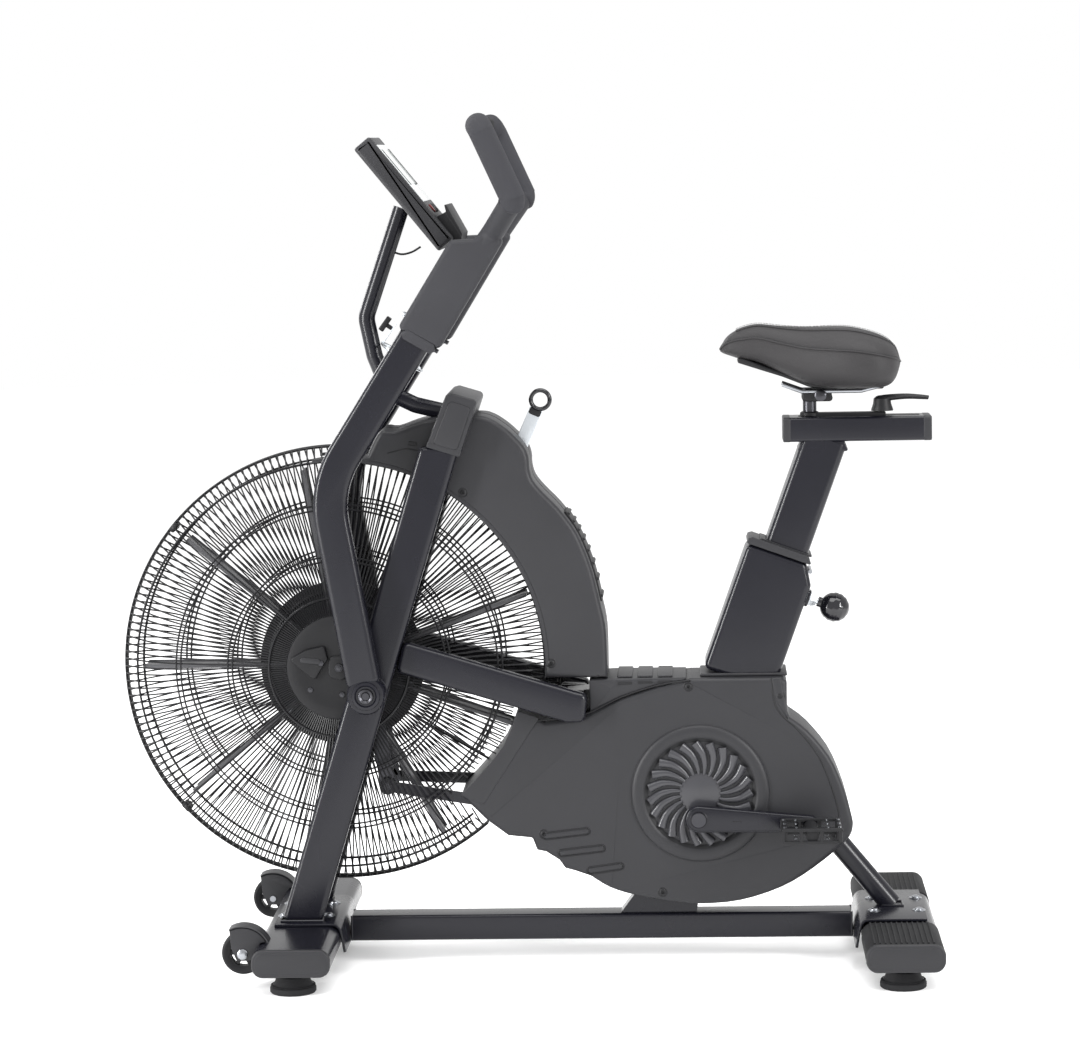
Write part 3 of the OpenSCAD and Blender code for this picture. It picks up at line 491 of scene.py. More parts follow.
def seat_post():
    post = moved(moved(prism(rectangle(68, 64, 11, 6), 46, 371, 1), STAND), SEAT)
    holes = [moved(tube([(33.2, 0, z), (34.15, 0, z)], 5.2, 20), SEAT) for z in (227.4, 252.4, 277.4, 302.4)]
    deck = bar((401, 0, 824), (626, 0, 824), 67, 37.5, 5, end=2.5)
    caps = [bar((400, 0, 824), (412, 0, 824), 68, 38, 5, end=2),
            bar((614, 0, 824), (627, 0, 824), 68, 38, 5, end=2)]
    groove = [bar((424, 0, 842.4), (610, 0, 842.4), 24, 1.6, 0.6)]
    gusset = prism(fillet([(430, 806), (420, 790), (500, 790), (494, 806)], 3), -30, 30, 2)
    piece("seat_post", [(PAINT, post, deck, gusset), (DARK, *holes, *groove), (PLASTIC, *caps)], "seat_post",
          ["seat_post"])


def saddle_clamp():
    stem = upright_lathe([(10.5, 843.5), (10.5, 884), (0.01, 884)], 442, 0)
    sleeve = upright_lathe([(15, 843.6), (15, 848), (12, 850), (10.5, 850)], 442, 0)
    clamp = prism(fillet([(430, 866), (430, 884), (474, 884), (478, 866)], 5), -20, 20, 3)
    bolt = [tube([(458, -26, 875), (458, 26, 875)], 5), *both([lathe([(0.01, 30), (6, 30), (9, 28),
                                                                      (9, 24)], (458, 876), 24)])]
    track = bar((440, 0, 845), (558, 0, 845), 23, 6, 1)
    rails = [tube(fillet([(400, y, 893), (430, y, 882), (520, y, 882), (552, y, 890)], 12, 5, False), 3.4,
                  10) for y in (-22, 22)]
    piece("saddle_clamp", [(BOLT, stem, *bolt), (DARK, sleeve, clamp, track), (STEEL, *rails)],
          "seat_carriage", ["seat_carriage"])


def clamp_lever():
    hub = upright_lathe([(0.01, 872), (9, 871.5), (13, 868), (14, 860), (17, 851), (17, 849.6), (4, 849.6)],
                        553, 0)
    handle = curve([(548, 0, 866), (566, 0, 870), (590, 0, 872), (612, 0, 870), (624, 0, 868)], 5)
    grip = tube(handle, [9 - 4 * i / (len(handle) - 1) for i in range(len(handle))], 14)
    flat = ([(p[0], p[1] * 1.25, 869 + (p[2] - 869) * 0.62) for p in grip[0]], grip[1])
    piece("clamp_lever", [(DARK, hub, flat)], "clamp_lever", ["clamp_lever"])


def pull_knob():
    ball = [(0.01, 124.4)] + [(23 * math.sin(t), 101.5 + 23 * math.cos(t)) for t in
                              (math.radians(8 + 7.4 * k) for k in range(20))] + [(8, 80), (8, 74), (5, 74)]
    ball = [(r - (0.7 if 2 < k < 17 and k % 3 == 0 else 0), y) for k, (r, y) in enumerate(ball)]
    across = SEAT @ Matrix.Translation((0, 0, 127.4)) @ Matrix.Rotation(math.radians(-90), 4, "Z")
    nut = moved(lathe([(5, 60.6), (11, 60.6), (11, 66), (8, 72), (5, 72)], steps=6), across)
    shaft = moved(lathe([(4.9, 34.7), (4.9, 80)], steps=24), across)
    piece("pull_knob", [(GLOSS, moved(lathe(ball, steps=48), across)), (ZINC, nut, shaft)], "pull_pin",
          ["pull_pin"])


def saddle():
    """A padded saddle: a narrow nose, a wide back, a crowned top and a piped seam around the edge."""
    top = [(306, 949), (312, 962), (322, 972), (340, 981), (364, 986), (400, 982.5), (438, 980), (480, 981),
           (509, 979), (540, 971), (560, 962), (572, 950), (579.5, 930)]
    low = [(306, 944), (312, 940.5), (322, 937), (340, 931), (364, 926), (400, 909), (438, 893), (480, 885.5),
           (509, 885), (540, 886), (558, 889), (572, 900), (579.5, 920)]
    wide = [(306, 8), (312, 19), (322, 26), (340, 31), (364, 36), (400, 47), (438, 63), (480, 88),
            (509, 99), (540, 101), (560, 90), (572, 68), (579.5, 30)]
    rows = list(zip(curve(top, 4), curve(low, 4), curve(wide, 4)))
    around, points, seam, panel = 40, [], [], []
    for t, b, w in rows:
        x, half = t[0], w[1]
        edge = b[1] + (t[1] - b[1]) * 0.42
        back = max(0.0, min(1.0, (x - 440) / 90))
        ring = []
        for k in range(around):
            a = 2 * math.pi * k / around
            c, s = math.cos(a), math.sin(a)
            y = half * math.copysign(abs(c) ** 0.82, c)
            if s >= 0:
                dip = 5 * back * math.exp(-(y / 22) ** 2) + 2.5 * math.exp(-(y / 9) ** 2)
                z = edge + (t[1] - edge) * s ** 0.78 - dip * s
            else:
                z = edge + (edge - b[1]) * math.copysign(abs(s) ** 0.7, s)
            ring.append((x, y, z))
        points += ring
        seam.append(ring[2])
        panel.append(ring[7])
    n = len(rows)
    faces = [(i * around + k, (i + 1) * around + k, (i + 1) * around + (k + 1) % around,
              i * around + (k + 1) % around) for i in range(n - 1) for k in range(around)]
    faces += [tuple(range(around)), tuple((n - 1) * around + k for k in range(around))[::-1]]
    piping, stitches = [], []
    for line, r in ((seam, 1.7), (panel[10:], 1.0)):
        out = [(p[0], p[1] * 1.004 + 0.2, p[2] + 0.4) for p in line]
        piping += both([tube(out, r, 8)])
        for i in range(len(out) - 1):
            a, b = Vector(out[i]), Vector(out[i + 1])
            for f in (0.1, 0.55):
                p, q = a.lerp(b, f) + Vector((0, 0.6, 2.4)), a.lerp(b, f + 0.3) + Vector((0, 0.6, 2.4))
                stitches += both([tube([tuple(p), tuple(q)], 0.5, 5)])
    shell = piece("padded_saddle", [(VINYL, (points, faces), *piping), (THREAD, *stitches)],
                  "seat_carriage", ["saddle"], 60)
    under = fillet([(330, 928), (400, 905), (440, 889), (470, 884.5), (555, 884.5), (555, 892), (440, 898),
                    (335, 936)], 4)
    piece("saddle_base", [(DARK, prism(under, -24, 24, 3))], "seat_carriage")


# ---------- housings ----------

HOUSING_FRONT = [(29, 381), (-13, 401), (-23, 372), (-36, 345), (-50, 326), (-66, 308), (-85, 287),
                 (-104, 269)]
HOUSING_FOOT = [(-63, 228), (-31, 204), (6, 200), (13, 181), (27, 178), (47, 165), (56, 152), (71, 148),
                (96, 139), (125, 121), (166, 108), (223, 98), (265, 94), (326, 99), (389, 119), (438, 148)]
HOUSING_BACK = [(488, 189), (500, 212), (497, 235), (485, 277), (465, 322), (432, 363), (405, 384),
                (401, 394), (401, 440), (392, 446.5), (253, 446.5)]
SEAM = [(203, 435), (147, 417), (88, 389)]


def turbine():
    """The round vent on a housing: its raised ring, the gap inside it, the floor, the hub and the vanes."""
    ring = lathe([(82, HALF - 4), (84, HALF + 1), (87, HALF + 4.4), (91, HALF + 5.8), (98, HALF + 5.9),
                  (103, HALF + 4.6), (106, HALF + 2), (107, HALF - 1)], TURBINE, 96)
    inner = lathe([(0.01, HALF - 1.4), (79.5, HALF - 1.4), (80.5, HALF - 0.6), (82, HALF + 0.6),
                   (84, HALF + 0.6)], TURBINE, 96)
    gap = lathe([(80.5, HALF - 0.5), (80.5, HALF + 0.9), (86.5, HALF + 3.6), (87, HALF + 3)], TURBINE, 96)
    hub = lathe([(33, HALF - 1.4), (31.5, HALF + 1.6), (27, HALF + 3), (0.01, HALF + 3.4)], TURBINE, 64)
    blades = []
    for i in range(23):
        a = i * 360 / 23
        mid = curve([polar(TURBINE, 30, a), polar(TURBINE, 44, a + 2), polar(TURBINE, 62, a + 8),
                     polar(TURBINE, 79, a + 17)], 4)
        inner_y = HALF + 2.6
        ridge = [(p[0], inner_y - 1.1 * k / len(mid), p[1]) for k, p in enumerate(mid)]
        width = [2.0 + 6.0 * k / len(mid) for k in range(len(mid))]
        blade = tube(ridge, width, 10)
        blades.append(([(p[0], HALF - 1.4 + (p[1] - HALF + 1.4) * 0.85, p[2]) for p in blade[0]], blade[1]))
    return ring, gap, inner, hub, blades


def housings():
    belly = curve(HOUSING_FOOT[8:] + HOUSING_BACK[:7], 3)
    outline = fillet(HOUSING_FRONT + HOUSING_FOOT[:8] + belly + HOUSING_BACK[7:] + SEAM, 4, 2)

    well = moved(moved(prism(rectangle(76, 72, 8), -130, 60, 0), STAND), SEAT)
    hollow_body = carved(prism(outline, 0.2, HALF, 8, 0, 6), prism(inset(outline, 3), -2, HALF - 3, 0), well)

    ring, gap, inner, hub, blades = turbine()

    def shell(side):
        lip_line = curve([(20, 388), (-4, 352), (-26, 318), (-46, 288), (-68, 254)], 4)
        front = [(-12, 399)] + HOUSING_FRONT[2:]
        flange = prism(fillet(front + lip_line[::-1], 2, 2), HALF - 3, HALF + 0.9, 0.8)
        seam = curve([(-8, 381), (29, 385), (88, 392), (147, 419), (203, 436.5), (253, 444)], 4)
        rear = curve([(378, 444), (380, 414), (391, 390), (418, 364), (448, 324), (467, 277), (478, 236),
                      (480, 204)], 4)
        ribs, channels = [], []
        for (a, b) in (((22, 203), (95, 211)), ((46, 176), (118, 184)), ((90, 148), (146, 156))):
            slot = fillet(strip([a, b], 11), 5, 5)
            ribs.append(prism(inset(slot, 2), HALF - 2, HALF + 1.2, 1.2))
            channels.append(tube([(p[0], HALF - 0.1, p[1]) for p in slot], 1.2, 8, True))
        swell = prism(fillet([(392, 447), (376, 446), (384, 410), (402, 380), (404, 386), (401, 394)], 3),
                      HALF - 6, HALF + 1, 3)
        grooves = [tube([(p[0], HALF - 0.9 + 0.5 * (i > 2), p[1]) for i, p in enumerate(line)], 1.3, 8)
                   for line in (seam, rear)]
        return [(PLASTIC, hollow_body, flange, swell, ring, *ribs), (DARK, *grooves, *channels, gap),
                (DARK, inner), (TURBINE_VANE, hub, *blades)]

    left, right = pair("housing", shell, None, ["housing_{}"], 45)
    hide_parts("turbine_covers")
    tray = fillet([(98, 395), (98, 446), (138, 447.4), (252, 447.4), (240, 443), (203, 434.8), (147, 416.8),
                   (112, 401)], 2)
    treads = [prism(fillet([(141 + i * 31, 446), (141 + i * 31, 450.6), (164 + i * 31, 450.6),
                            (164 + i * 31, 446)], 1.5), -52, 52, 2) for i in range(3)]
    slots = [bar((142 + i * 31, -60.3, 440 + i), (163 + i * 31, -60.3, 440.5 + i), 1.2, 4, 0.5)
             for i in range(3)]
    piece("foot_tray", [(PLASTIC, prism(tray, -60, 60, 5, steps=4), *treads), (DARK, *both(slots))],
          nodes=["foot_tray"])


def shrouds():
    ridge = [(-236, 797), (-224, 822), (-213, 835), (-194, 834), (-165, 844), (-139, 850), (-100, 854),
             (-65, 855), (-50, 852), (-35, 844), (-16, 829), (4, 807), (11, 789), (12, 772), (17, 755),
             (31, 737), (55, 712), (78, 681), (92, 652), (106, 612), (117, 564), (124, 530), (126, 496),
             (126, 449)]
    outline = curve(ridge, 3) + [(30, 449)] + arc(FAN, 317, -2, 97, 36)

    def half(side):
        shell = prism(outline, 3, HALF, 9, 0, 5)
        lip = prism(strip([p for p in arc(FAN, 321, 0, 96, 30)], 5), HALF - 4, HALF + 0.8, 0.8)
        crease = tube([(p[0], HALF - 0.6, p[1]) for p in curve([(-204, 800), (-176, 806), (-150, 802),
                                                                (-128, 806)], 4)], 1.4, 8)
        back = tube([(p[0], HALF - 1.6, p[1]) for p in curve([(112, 452), (111, 500), (104, 556), (92, 606),
                                                              (74, 652)], 4)], 1.2, 8)
        drain = tube([(-172, HALF - 0.8, 815), (-160, HALF - 0.8, 813)], 3.4, 10)
        pivot = tube([(-29, 2, 746), (-29, HALF - 6, 746)], 4)
        return [(PLASTIC, shell, lip), (DARK, crease, back, drain), (STEEL, pivot)]

    pair("shroud", half, None, ["shroud_{}"], 45)
    edge = curve([(64, 703), (78, 681), (92, 652), (106, 612), (117, 564)], 4)
    fins = []
    for i in range(8):
        p = Vector(edge[min(len(edge) - 2, 1 + 2 * i)])
        d = (Vector(edge[min(len(edge) - 1, 2 + 2 * i)]) - p).normalized()
        out = Vector((-d.y, d.x)) * (1 if -d.y + d.x > 0 else -1)
        q = [p - out * 3 - d * 4, p + out * 4.5 - d * 1, p + out * 6 + d * 3, p - out * 3 + d * 4]
        fins.append(prism(fillet([tuple(c) for c in q], 1, 2), -33, 33, 1))
    bed = prism(strip([tuple(p) for p in edge], 5), -35, 35, 1)
    piece("vent", [(DARK, bed, *fins)], nodes=["vent_fins"])


def crossbar():
    body = fillet([(-143, 813), (-111.5, 890), (-102, 892.5), (-63, 880.5), (-91.5, 796.5)], 7, 5)
    panel = fillet([(-133, 816), (-108, 877), (-101, 880), (-73, 870), (-96, 805)], 6, 5)
    rim = prism(inset(body, 1.2), 90, 94.2, 1)
    skirt = prism(fillet([(-143.5, 811), (-140, 820), (-89, 804), (-92, 795)], 2), -94.6, 94.6, 1.6)
    step = prism(panel, 93, 95, 1.6)
    block = prism(body, -93.4, 93.4, 6, steps=5)
    piece("crossbar_cover", [(PLASTIC, block, *both([rim, step]), skirt)], nodes=["crossbar_cover"])


# ---------- guard and fan ----------

DOME = [(80, 60), (106, 60), (165, 60), (205, 59.6), (248, 58), (276, 53.5), (300, 43), (316, 31.5),
        (326, 21), (334, 13), (338, 8)]


def depth(r):
    for (r0, y0), (r1, y1) in zip(DOME, DOME[1:]):
        if r <= r1:
            return y0 + (y1 - y0) * (r - r0) / (r1 - r0)
    return DOME[-1][1]


GUARD_CUT = [(x - 1, z) for x, z in HOUSING_FRONT[1:-1]] + [(-104, 290), (-114, 288), (-114, 242),
                                                            (-72, 224), (-31, 190), (70, 190), (70, 414),
                                                            (-14, 414)]


def inside(x, z, outline):
    hit = False
    for (x0, z0), (x1, z1) in zip(outline, outline[1:] + outline[:1]):
        if (z0 > z) != (z1 > z) and x < x0 + (x1 - x0) * (z - z0) / (z1 - z0):
            hit = not hit
    return hit


def runs(points):
    """The stretches of a line that lie outside the housing."""
    out, run = [], []
    for p in points:
        if inside(p[0], p[2], GUARD_CUT):
            if len(run) > 1:
                out.append(run)
            run = []
        else:
            run.append(p)
    return out + ([run] if len(run) > 1 else [])


def guards():
    radii = [81, 107, 130, 165, 205, 248, 262, 276, 288, 300, 309, 316, 322, 328, 334, 338]

    def half(side):
        wires = []
        for i in range(180):
            a = i * 2 + (0.0 if side == "left" else 1.0)
            line = [(*polar(FAN, r, a), depth(r)) for r in radii]
            for run in runs([(p[0], p[2], p[1]) for p in line]):
                wires.append(tube(run, 1.3, 5))
        rings = []
        for r, size in ((108, 2.0), (165, 1.5), (172, 1.5), (245, 1.5), (252, 1.5), (316, 1.9)):
            line = [(*polar(FAN, r, 0.5 + 2 * i), depth(r) + 1.4) for i in range(181)]
            rings += [tube(run, size, 6) for run in runs([(p[0], p[2], p[1]) for p in line])]
        rim = []
        line = [(*polar(FAN, 337.6, 0.5 + 1.5 * i), 5) for i in range(241)]
        for run in runs([(p[0], p[2], p[1]) for p in line]):
            flat = tube(run, 2.4, 10)
            rim.append(([(p[0], 5 + (p[1] - 5) * 1.75, p[2]) for p in flat[0]], flat[1]))
        clips = []
        for a in (140, 222, 262, 57):
            c = polar(FAN, 337, a)
            clips.append(prism(fillet(strip([polar(FAN, 330, a), polar(FAN, 339.6, a)], 16), 3), 0.6, 13,
                               1.5))
            clips.append(lathe([(0.01, 15.4), (3.5, 15.2), (5, 13.4), (5, 12)], polar(FAN, 334, a), 16))
        return [(WIRE, *wires, *rings, *rim), (DARK, *clips)]

    pair("guard", half, None, ["guard_{}"], 50)

    def cap(side):
        dish = lathe([(0.01, 61), (34, 61.4), (56, 62), (62, 63.4), (74, 63.4), (80, 62), (82, 59),
                      (82, 57)], FAN, 72)
        lobe = [(-363, 484), (-337, 498), (-308, 504), (-303, 484), (-324, 452), (-337, 461)]
        latch = prism(fillet(lobe, 4), 61, 68, 2)
        slot = prism(fillet(strip([(-346, 483), (-314, 480)], 9), 4), 67, 69.4, 1.5)
        knob = prism(fillet([(-303, 488), (-272, 488), (-262, 466), (-284, 449), (-303, 457)], 9), 61, 64.6,
                     1.5)
        bolts = [lathe([(0.01, 69.4), (4.5, 69), (6.5, 66.5), (6.5, 62)], p, 6)
                 for p in ((-314, 478), (-287, 470))]
        rivets = [lathe([(0.01, 63.4), (4, 63), (5, 61)], p, 16) for p in ((-283, 428), (-332, 436))]
        return [(DARK, dish, latch, knob), (BOLT, *bolts, *rivets), (PLASTIC, slot)]

    left, right = pair("hub_cover", cap)
    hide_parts("hub_covers")


def rotor():
    hub = lathe([(6.2, -14), (31, -14), (32, -12), (32, 12), (31, 14), (6.2, 14)], FAN, 48, True)
    disc = [lathe([(32, -2), (128, -1.6), (128, 1.6), (32, 2)], FAN, 96, True),
            lathe([(110, -2), (113, -3.4), (116, -2)], FAN, 96),
            lathe([(110, 2), (113, 3.4), (116, 2)], FAN, 96)]
    blades, rivets = [], []
    for i in range(9):
        a = i * 40 + 20
        root, tip = polar(FAN, 62, a), polar(FAN, 307, a)
        blades.append(bar((root[0], 0, root[1]), (tip[0], 0, tip[1]), 50, 2.2, 0.9, end=1))
        for y in (-1, 1):
            blades.append(bar((root[0], y * 24.6, root[1]), (tip[0], y * 24.6, tip[1]), 2.2, 7, 0.9, end=1))
        for r in (72, 92, 112):
            p = polar(FAN, r, a + 1.6)
            rivets.append(lathe([(0.01, 4.6), (3, 4.4), (4, 2)], p, 12))
    piece("fan", [(DARK, hub, *disc), (BLADE, *blades), (STEEL, *both(rivets))], "fan", ["fan_rotor"])


# ---------- cranks, pedals, arms ----------

PEDAL = {"left": (433.77, 223.05), "right": (92.23, 240.95)}


def cranks():
    def arm(side):
        at = Vector(PEDAL[side])
        d = (at - Vector(CRANK)).normalized()
        c = Vector(CRANK)
        a0 = math.degrees(math.atan2(d.y, d.x))
        body = arc(CRANK, 20.5, a0 + 83, a0 + 277, 18) + arc(PEDAL[side], 12.6, a0 - 80, a0 + 80, 12)
        groove = [c + d * t for t in (52, 66)]
        nut = lathe([(0.01, 95.8), (9, 95.8), (10.8, 94.6), (11, 91.6)], CRANK, 32)
        ring = lathe([(11, 92), (13, 92.4), (14.5, 91.6)], CRANK, 40)
        mark = tube([(p.x, 91.4, p.y) for p in groove], 1.1, 6)
        sleeve = prism(inset(body, 3), 91, 92.2, 1)
        return [(PAINT, prism(body, 76, 91.6, 4, 2, 4), sleeve, ring), (BOLT, nut), (DARK, mark)]

    pair("crank_arm", arm, "crank", ["crank_arm_{}"])

    def pedal(side):
        x, z = PEDAL[side]
        end = []
        for y0, y1 in ((98, 105), (181, 188)):
            end += [prism(fillet([(x - 46, z + 7), (x - 46, z + 12), (x + 46, z + 12), (x + 46, z + 7)],
                                 2.4), y0, y1, 1.2), prism(fillet([(x - 44, z - 12), (x - 46, z - 7),
                                                                   (x + 42, z - 7), (x + 36, z - 12)], 2.4),
                                                           y0, y1, 1.2)]
            for dx in (-44, -17, 14, 42):
                end.append(prism(fillet(strip([(x + dx, z - 9), (x + dx, z + 9)], 5), 1.5), y0, y1, 1))
        sides = [bar((x + dx, 100, z), (x + dx, 186, z), 8, 22, 3, (1, 0, 0)) for dx in (-41, 41)]
        core = [tube([(x, 94, z), (x, 182, z)], 10, 20), bar((x - 40, 143, z), (x + 40, 143, z), 10, 10, 2)]
        stud = lathe([(0.01, 0), (2, 0), (2.6, 2.6), (0.01, 2.6)], steps=10)
        studs = []
        for dx in (-41, -24, 24, 41):
            for y in (112, 143, 174):
                for s in (1, -1):
                    turn = Matrix.Translation((x + dx, y,
                                               z + s * 10)) @ Matrix.Rotation(math.radians(90 * s), 4, "X")
                    studs.append(moved(stud, turn))
        spindle = tube([(x, 84, z), (x, 98, z)], 5.9, 16)
        flats = lathe([(5.9, 92), (8, 92), (8, 96), (5.9, 96)], PEDAL[side], 6, True)
        return [(DARK, *end, *sides, *core), (STEEL, spindle, flats, *studs)]

    pair("pedal", pedal, "pedal_{}", ["pedal_{}"])


def arms():
    def arm(side):
        path = fillet([(-243, 450), (-296, 754), (-150, 983)], 150, 14, False)
        body = prism(fillet(strip(path, 51.6), 10, 4), 98, 134, 9, steps=5)
        foot = lathe([(10.2, 98.2), (27, 98.2), (29, 100), (29, 131), (27, 133.6), (22, 134), (21, 137),
                      (17, 137.6), (15, 135.4), (11.6, 135.4)], PIVOT, 56)
        bolt = lathe([(0.01, 138.6), (5.5, 138.6), (6, 137.4), (9.5, 139.8), (11, 139.2), (12, 136),
                      (12, 134)], PIVOT, 32)
        lever = [(-240, 436), (-216.94, 281.71)]
        arm_end = [prism(strip(lever, 24), 40.4, 44.4, 0.8), lathe([(0.01, 44.4), (19, 44.4), (20, 42),
                                                                    (19, 40.4), (0.01, 40.4)], lever[0],
                                                                   32),
                   lathe([(0.01, 44.4), (13, 44.4), (14, 42), (13, 40.4), (0.01, 40.4)], lever[1], 32),
                   tube([(-240, 40.4, 436), (-240, 100, 436)], 9.9, 24),
                   tube([(-216.94, 41, 281.71), (-216.94, 49.8, 281.71)], 5.9, 18)]
        return [(PAINT, body, foot), (BOLT, bolt, *arm_end)]

    def boot(side):
        outline = fillet([(-180, 994), (-98, 1125), (-62, 1126), (-48, 1134), (-14, 1128), (-118, 960)], 9, 5)
        sleeve = prism(outline, 96.5, 135.5, 8, steps=6)
        neck = fillet([(-62, 116, 1096), (-34, 121, 1134), (0, 179, 1184), (-20, 179, 1230)], 30, 8,
                      False)[:-6]
        cuff = tube(neck, 17, 26)
        hem = prism(strip([(-176, 990), (-120, 957)], 5), 96.2, 135.8, 10, steps=5)
        return [(BOOT, sleeve, cuff, hem)]

    def grip(side):
        line = fillet([(-6, 168, 1172), (1, 179, 1184), (-46, 179, 1289), (-53, 148, 1298)], 17, 8, False)
        full = curve(line, 2)
        n = len(full)
        length = [0.0]
        for a, b in zip(full, full[1:]):
            length.append(length[-1] + (Vector(b) - Vector(a)).length)
        radii = []
        for s in length:
            end = min(s, length[-1] - s)
            radii.append(19.0 * math.sqrt(max(0.05, 1 - max(0.0, 1 - end / 9) ** 2)))
        body = tube(full, radii, 30)
        plug = tube([full[-1], (full[-1][0] - 0.6, full[-1][1] - 2.5, full[-1][2] + 0.4)], [11, 9], 20)
        return [(FOAM, body), (DARK, plug)]

    pair("arm", arm, "arm_{}", ["arm_{}"])
    pair("boot", boot, "arm_{}")
    for obj in pair("foam_grip", grip, "arm_{}", ["grip_{}"], 60):
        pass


# ---------- console and levers ----------

def console():
    route = fillet([(-96, 0, 852), (-165, 0, 869), (-204, 0, 888), (-226, 0, 945), (-238, 0, 1005),
                    (-180, 0, 1172)], 34, 8, False)
    stalk = tube(route, 12.6, 28)
    foot = tube([(-118, 0, 857.5), (-112, 0, 856)], 16, 24)
    saddle_plate = moved(prism(fillet([(-33.5, -50), (-33.5, 14), (-30.8, 18), (-30.8, -54)], 1, 2), -34,
                               34, 0.8), CONSOLE)
    cable = curve([(-196, 2, 1106), (-182, 4, 1101), (-166, 6, 1104), (-152, 6, 1112)], 5)
    piece("stalk", [(PAINT, stalk, foot, saddle_plate), (DARK, tube(cable, 1.6, 8))], nodes=["console_stalk"])
    outline = fillet([(-30.6, -100), (-30.6, 100), (-0.4, 100), (-0.4, -100)], 4, 4)
    case = moved(prism(outline, -89.6, 89.6, 7, steps=5), CONSOLE)
    back = moved(prism(fillet([(-31, -60), (-31, 40), (-26, 44), (-26, -64)], 2), -60, 60, 2), CONSOLE)
    seam = [moved(prism(inset(outline, -0.25), y - 0.6, y + 0.6, 0.2), CONSOLE) for y in (-78, 78)]
    ribs = [moved(bar((-31, y, -70), (-31, y, -88), 1.5, 3), CONSOLE) for y in (-20, -10, 0, 10, 20)]
    piece("console", [(PLASTIC, case, back), (DARK, *seam, *ribs)], nodes=["console_case"])
    film = moved(prism(fillet([(-2.6, -27.4), (-2.6, 83.4), (0.4, 83.4), (0.4, -27.4)], 0.8, 2), -75.5,
                       75.5, 1), CONSOLE)
    glass = moved(bar((0.35, 0, 6), (0.35, 0, 72), 118, 1, 0.4), CONSOLE)
    bezel = [moved(tube([(0.7, y, 4), (0.7, y, 74)], 0.7, 6), CONSOLE) for y in (-61, 61)]
    piece("screen", [(SCREEN, film), (LCD, glass), (DARK, *bezel)], nodes=["console_screen"])
    button = moved(tube([(-6, -30, -42), (1.2, -30, -42), (2, -30, -42)], [7.9, 7.9, 6.6], 28), CONSOLE)
    piece("start_button", [(RED, button)], "start_button", ["start_button"])
    keys = [moved(tube([(-1, y, -42), (1.4, y, -42), (2, y, -42)], [8, 8, 6.8], 24), CONSOLE)
            for y in (0, 30)]
    piece("console_keys", [(DARK, *keys)])
    lip = fillet([(-121.5, 1158), (-107, 1166.5), (-109.5, 1177), (-106.4, 1177), (-82.6, 1133),
                  (-84.6, 1122), (-98, 1119), (-103, 1126), (-92, 1131), (-108, 1158.6), (-119, 1152)], 1.2,
                 3)
    cheeks = [prism(fillet([(-122, 1159), (-107.5, 1166), (-84, 1130), (-86, 1121.6), (-100, 1119)], 2, 3),
                    65, 69.4, 1)]
    piece("ledge", [(DARK, prism(lip, -69, 69, 1), *both(cheeks))], nodes=["phone_ledge"])


def cage():
    place = tilted(-186, 941, 36)
    hoops = []
    for z in (3, 60):
        hoop = [(37 * math.cos(a), 37 * math.sin(a), z) for a in (math.radians(12 * k) for k in range(30))]
        hoops.append(tube(hoop, 2.2, 8, True))
    staves = [tube([(x, y, 3), (x, y, 60)], 2.2, 8) for x, y in ((-37, 0), (0, 37), (0, -37))]
    under = [tube(fillet([(-37, 0, 3), (-26, 0, -1), (26, 0, -1), (37, 0, 3)], 6, 4, False), 2.2, 8),
             tube(fillet([(0, -37, 3), (0, -26, 0), (0, 26, 0), (0, 37, 3)], 6, 4, False), 2.2, 8)]
    clamp = [bar((-50, 0, 18), (-50, 0, 42), 16, 8, 2), bar((-50, 0, 30), (-38, 0, 30), 12, 6, 1)]
    piece("bottle_cage", [(ZINC, *[moved(s, place) for s in hoops + staves + under]),
                          (DARK, *[moved(s, place) for s in clamp])], nodes=["bottle_cage"])


def resistance():
    foot, ring = Vector((-29, 746)), Vector((28, 874))
    along = (ring - foot).normalized()
    end = ring - along * 13
    blade = prism(fillet(strip([tuple(foot - along * 8), tuple(end)], 21), 4, 4), -1.5, 1.5, 0.4)
    torus = lathe([(14.5 + 3.5 * math.cos(a), 4.9 * math.sin(a))
                   for a in (math.radians(24 * k) for k in range(15))], tuple(ring), 48, True)
    neck = prism(fillet(strip([tuple(ring - along * 26), tuple(ring - along * 15)], 19), 3), -2.6, 2.6, 1)
    piece("resistance_lever", [(ZINC, blade), (GLOSS, torus), (DARK, neck)], "resistance_lever",
          ["resistance_lever"])


def screws():
    places = ((250, 434), (390, 418), (206, 114), (24, 207), (-90, 738), (40, 473), (470, 200))
    parts = [s for x, z in places for s in screw(x, z, HALF - 0.5, 5)]
    dishes = [lathe([(8, HALF - 0.2), (7, HALF + 0.5), (5.4, HALF - 0.1)], p, 24) for p in places]
    piece("screws", [(DARK, *both(parts), *both(dishes))], nodes=["fasteners"])


for build in (foot_bars, floor_rail, plates, feet, wheels, masts, brace, seat_column, seat_post,
              saddle_clamp, clamp_lever, pull_knob, saddle, housings, shrouds, crossbar, guards, rotor,
              cranks, arms, console, cage, resistance, screws):
    build()

# The nodes that are shown as they are take the finish of their slot
slots = {part["node"]: part["material_slot"] for part in frame["record"]["subparts"]}
for node, obj in frame["nodes"].items():
    for holder in obj.material_slots:
        holder.link = "OBJECT"
        holder.material = FINISH[slots[node]]

# ---------- studio ----------

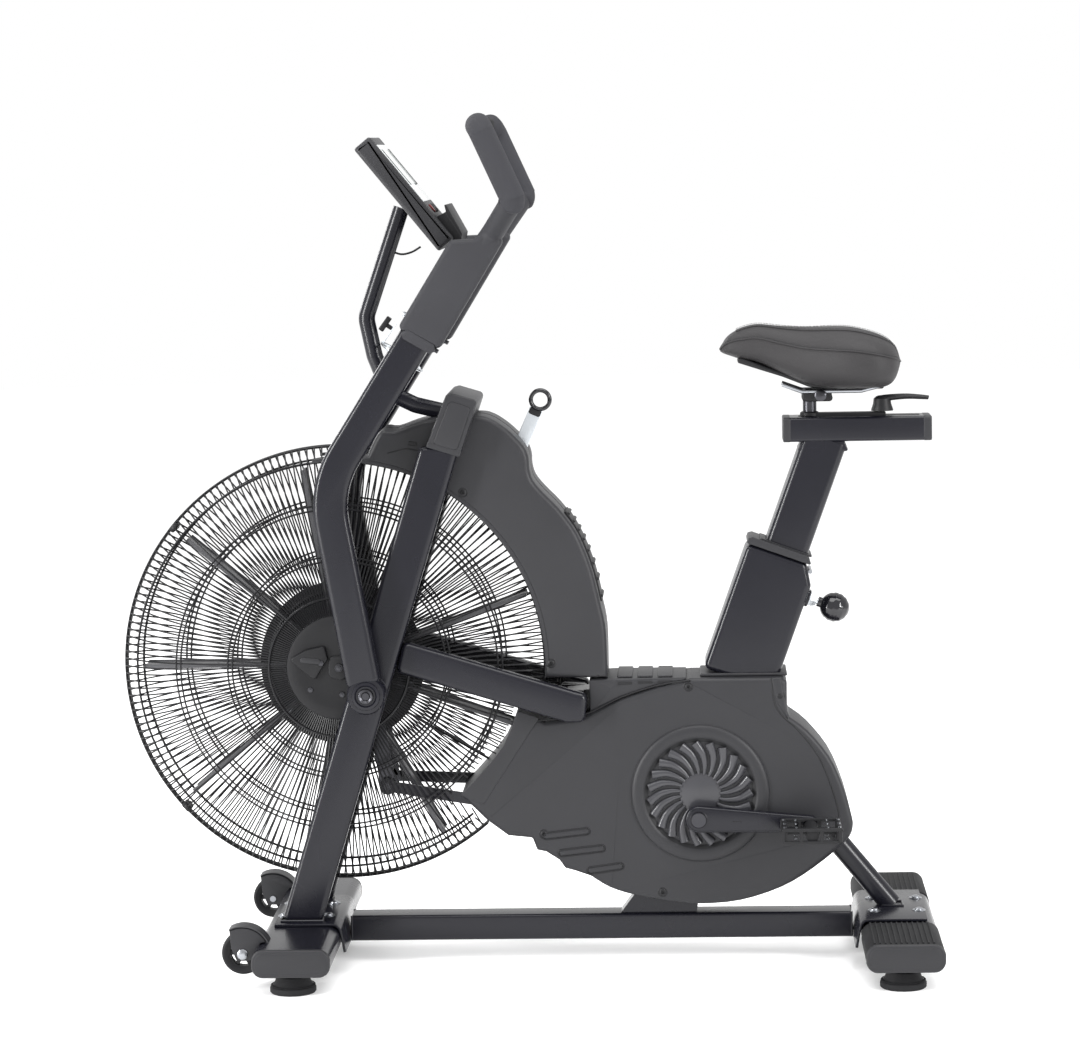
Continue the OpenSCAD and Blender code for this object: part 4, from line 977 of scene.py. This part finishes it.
bpy.ops.mesh.primitive_circle_add(vertices=96, radius=FLOOR_RADIUS, fill_type="NGON", location=(0, 0, 0))
ground = bpy.context.object
ground.name = "studio_floor"
ground.data.materials.append(FLOOR)
FLOOR.node_tree.nodes["Principled BSDF"].inputs["Emission Color"].default_value = (1.0, 1.0, 1.0, 1.0)
FLOOR.node_tree.nodes["Principled BSDF"].inputs["Emission Strength"].default_value = 0.1


def softbox(name, at, aim, size, power):
    data = bpy.data.lights.new(name, "AREA")
    data.shape, data.size, data.size_y, data.energy = "RECTANGLE", size[0], size[1], power
    lamp = bpy.data.objects.new(name, data)
    lamp.location = at
    lamp.rotation_euler = (Vector(aim) - Vector(at)).to_track_quat("-Z", "Y").to_euler()
    bpy.context.scene.collection.objects.link(lamp)


softbox("top_light", (0.2, -0.6, 4.2), (0, 0, 0.4), (4.0, 3.0), 170)
softbox("front_light", (-3.6, -2.2, 1.5), (-0.1, 0, 0.6), (0.5, 2.8), 230)
softbox("rear_light", (3.6, -2.4, 2.0), (0.1, 0, 0.5), (0.5, 2.4), 170)
softbox("far_light", (-2.6, 3.0, 2.4), (0, 0, 0.6), (1.0, 2.4), 60)

scene = bpy.context.scene
scene.world = bpy.data.worlds.new("studio")
scene.world.use_nodes = True
sky = scene.world.node_tree.nodes["Background"]
sky.inputs["Color"].default_value = (1.0, 1.0, 1.0, 1.0)
sky.inputs["Strength"].default_value = 1.0
scene.view_settings.view_transform = "Standard"

CAMERA_AT = (0.26232, -5.5, 1.26734)
CAMERA_YAW, CAMERA_PITCH, CAMERA_ROLL = 0.043269, 0.105335, -0.01835
FOCAL_LENGTH = 119.33
lens = bpy.data.cameras.new("camera")
lens.sensor_width = 36.0
lens.lens = FOCAL_LENGTH
lens.clip_end = 60.0
camera = bpy.data.objects.new("camera", lens)
camera.matrix_world = (
    Matrix.Translation(CAMERA_AT) @ Matrix.Rotation(CAMERA_YAW, 4, "Z")
    @ Matrix.Rotation(math.pi / 2 - CAMERA_PITCH, 4, "X") @ Matrix.Rotation(CAMERA_ROLL, 4, "Z")
)
scene.collection.objects.link(camera)
scene.camera = camera
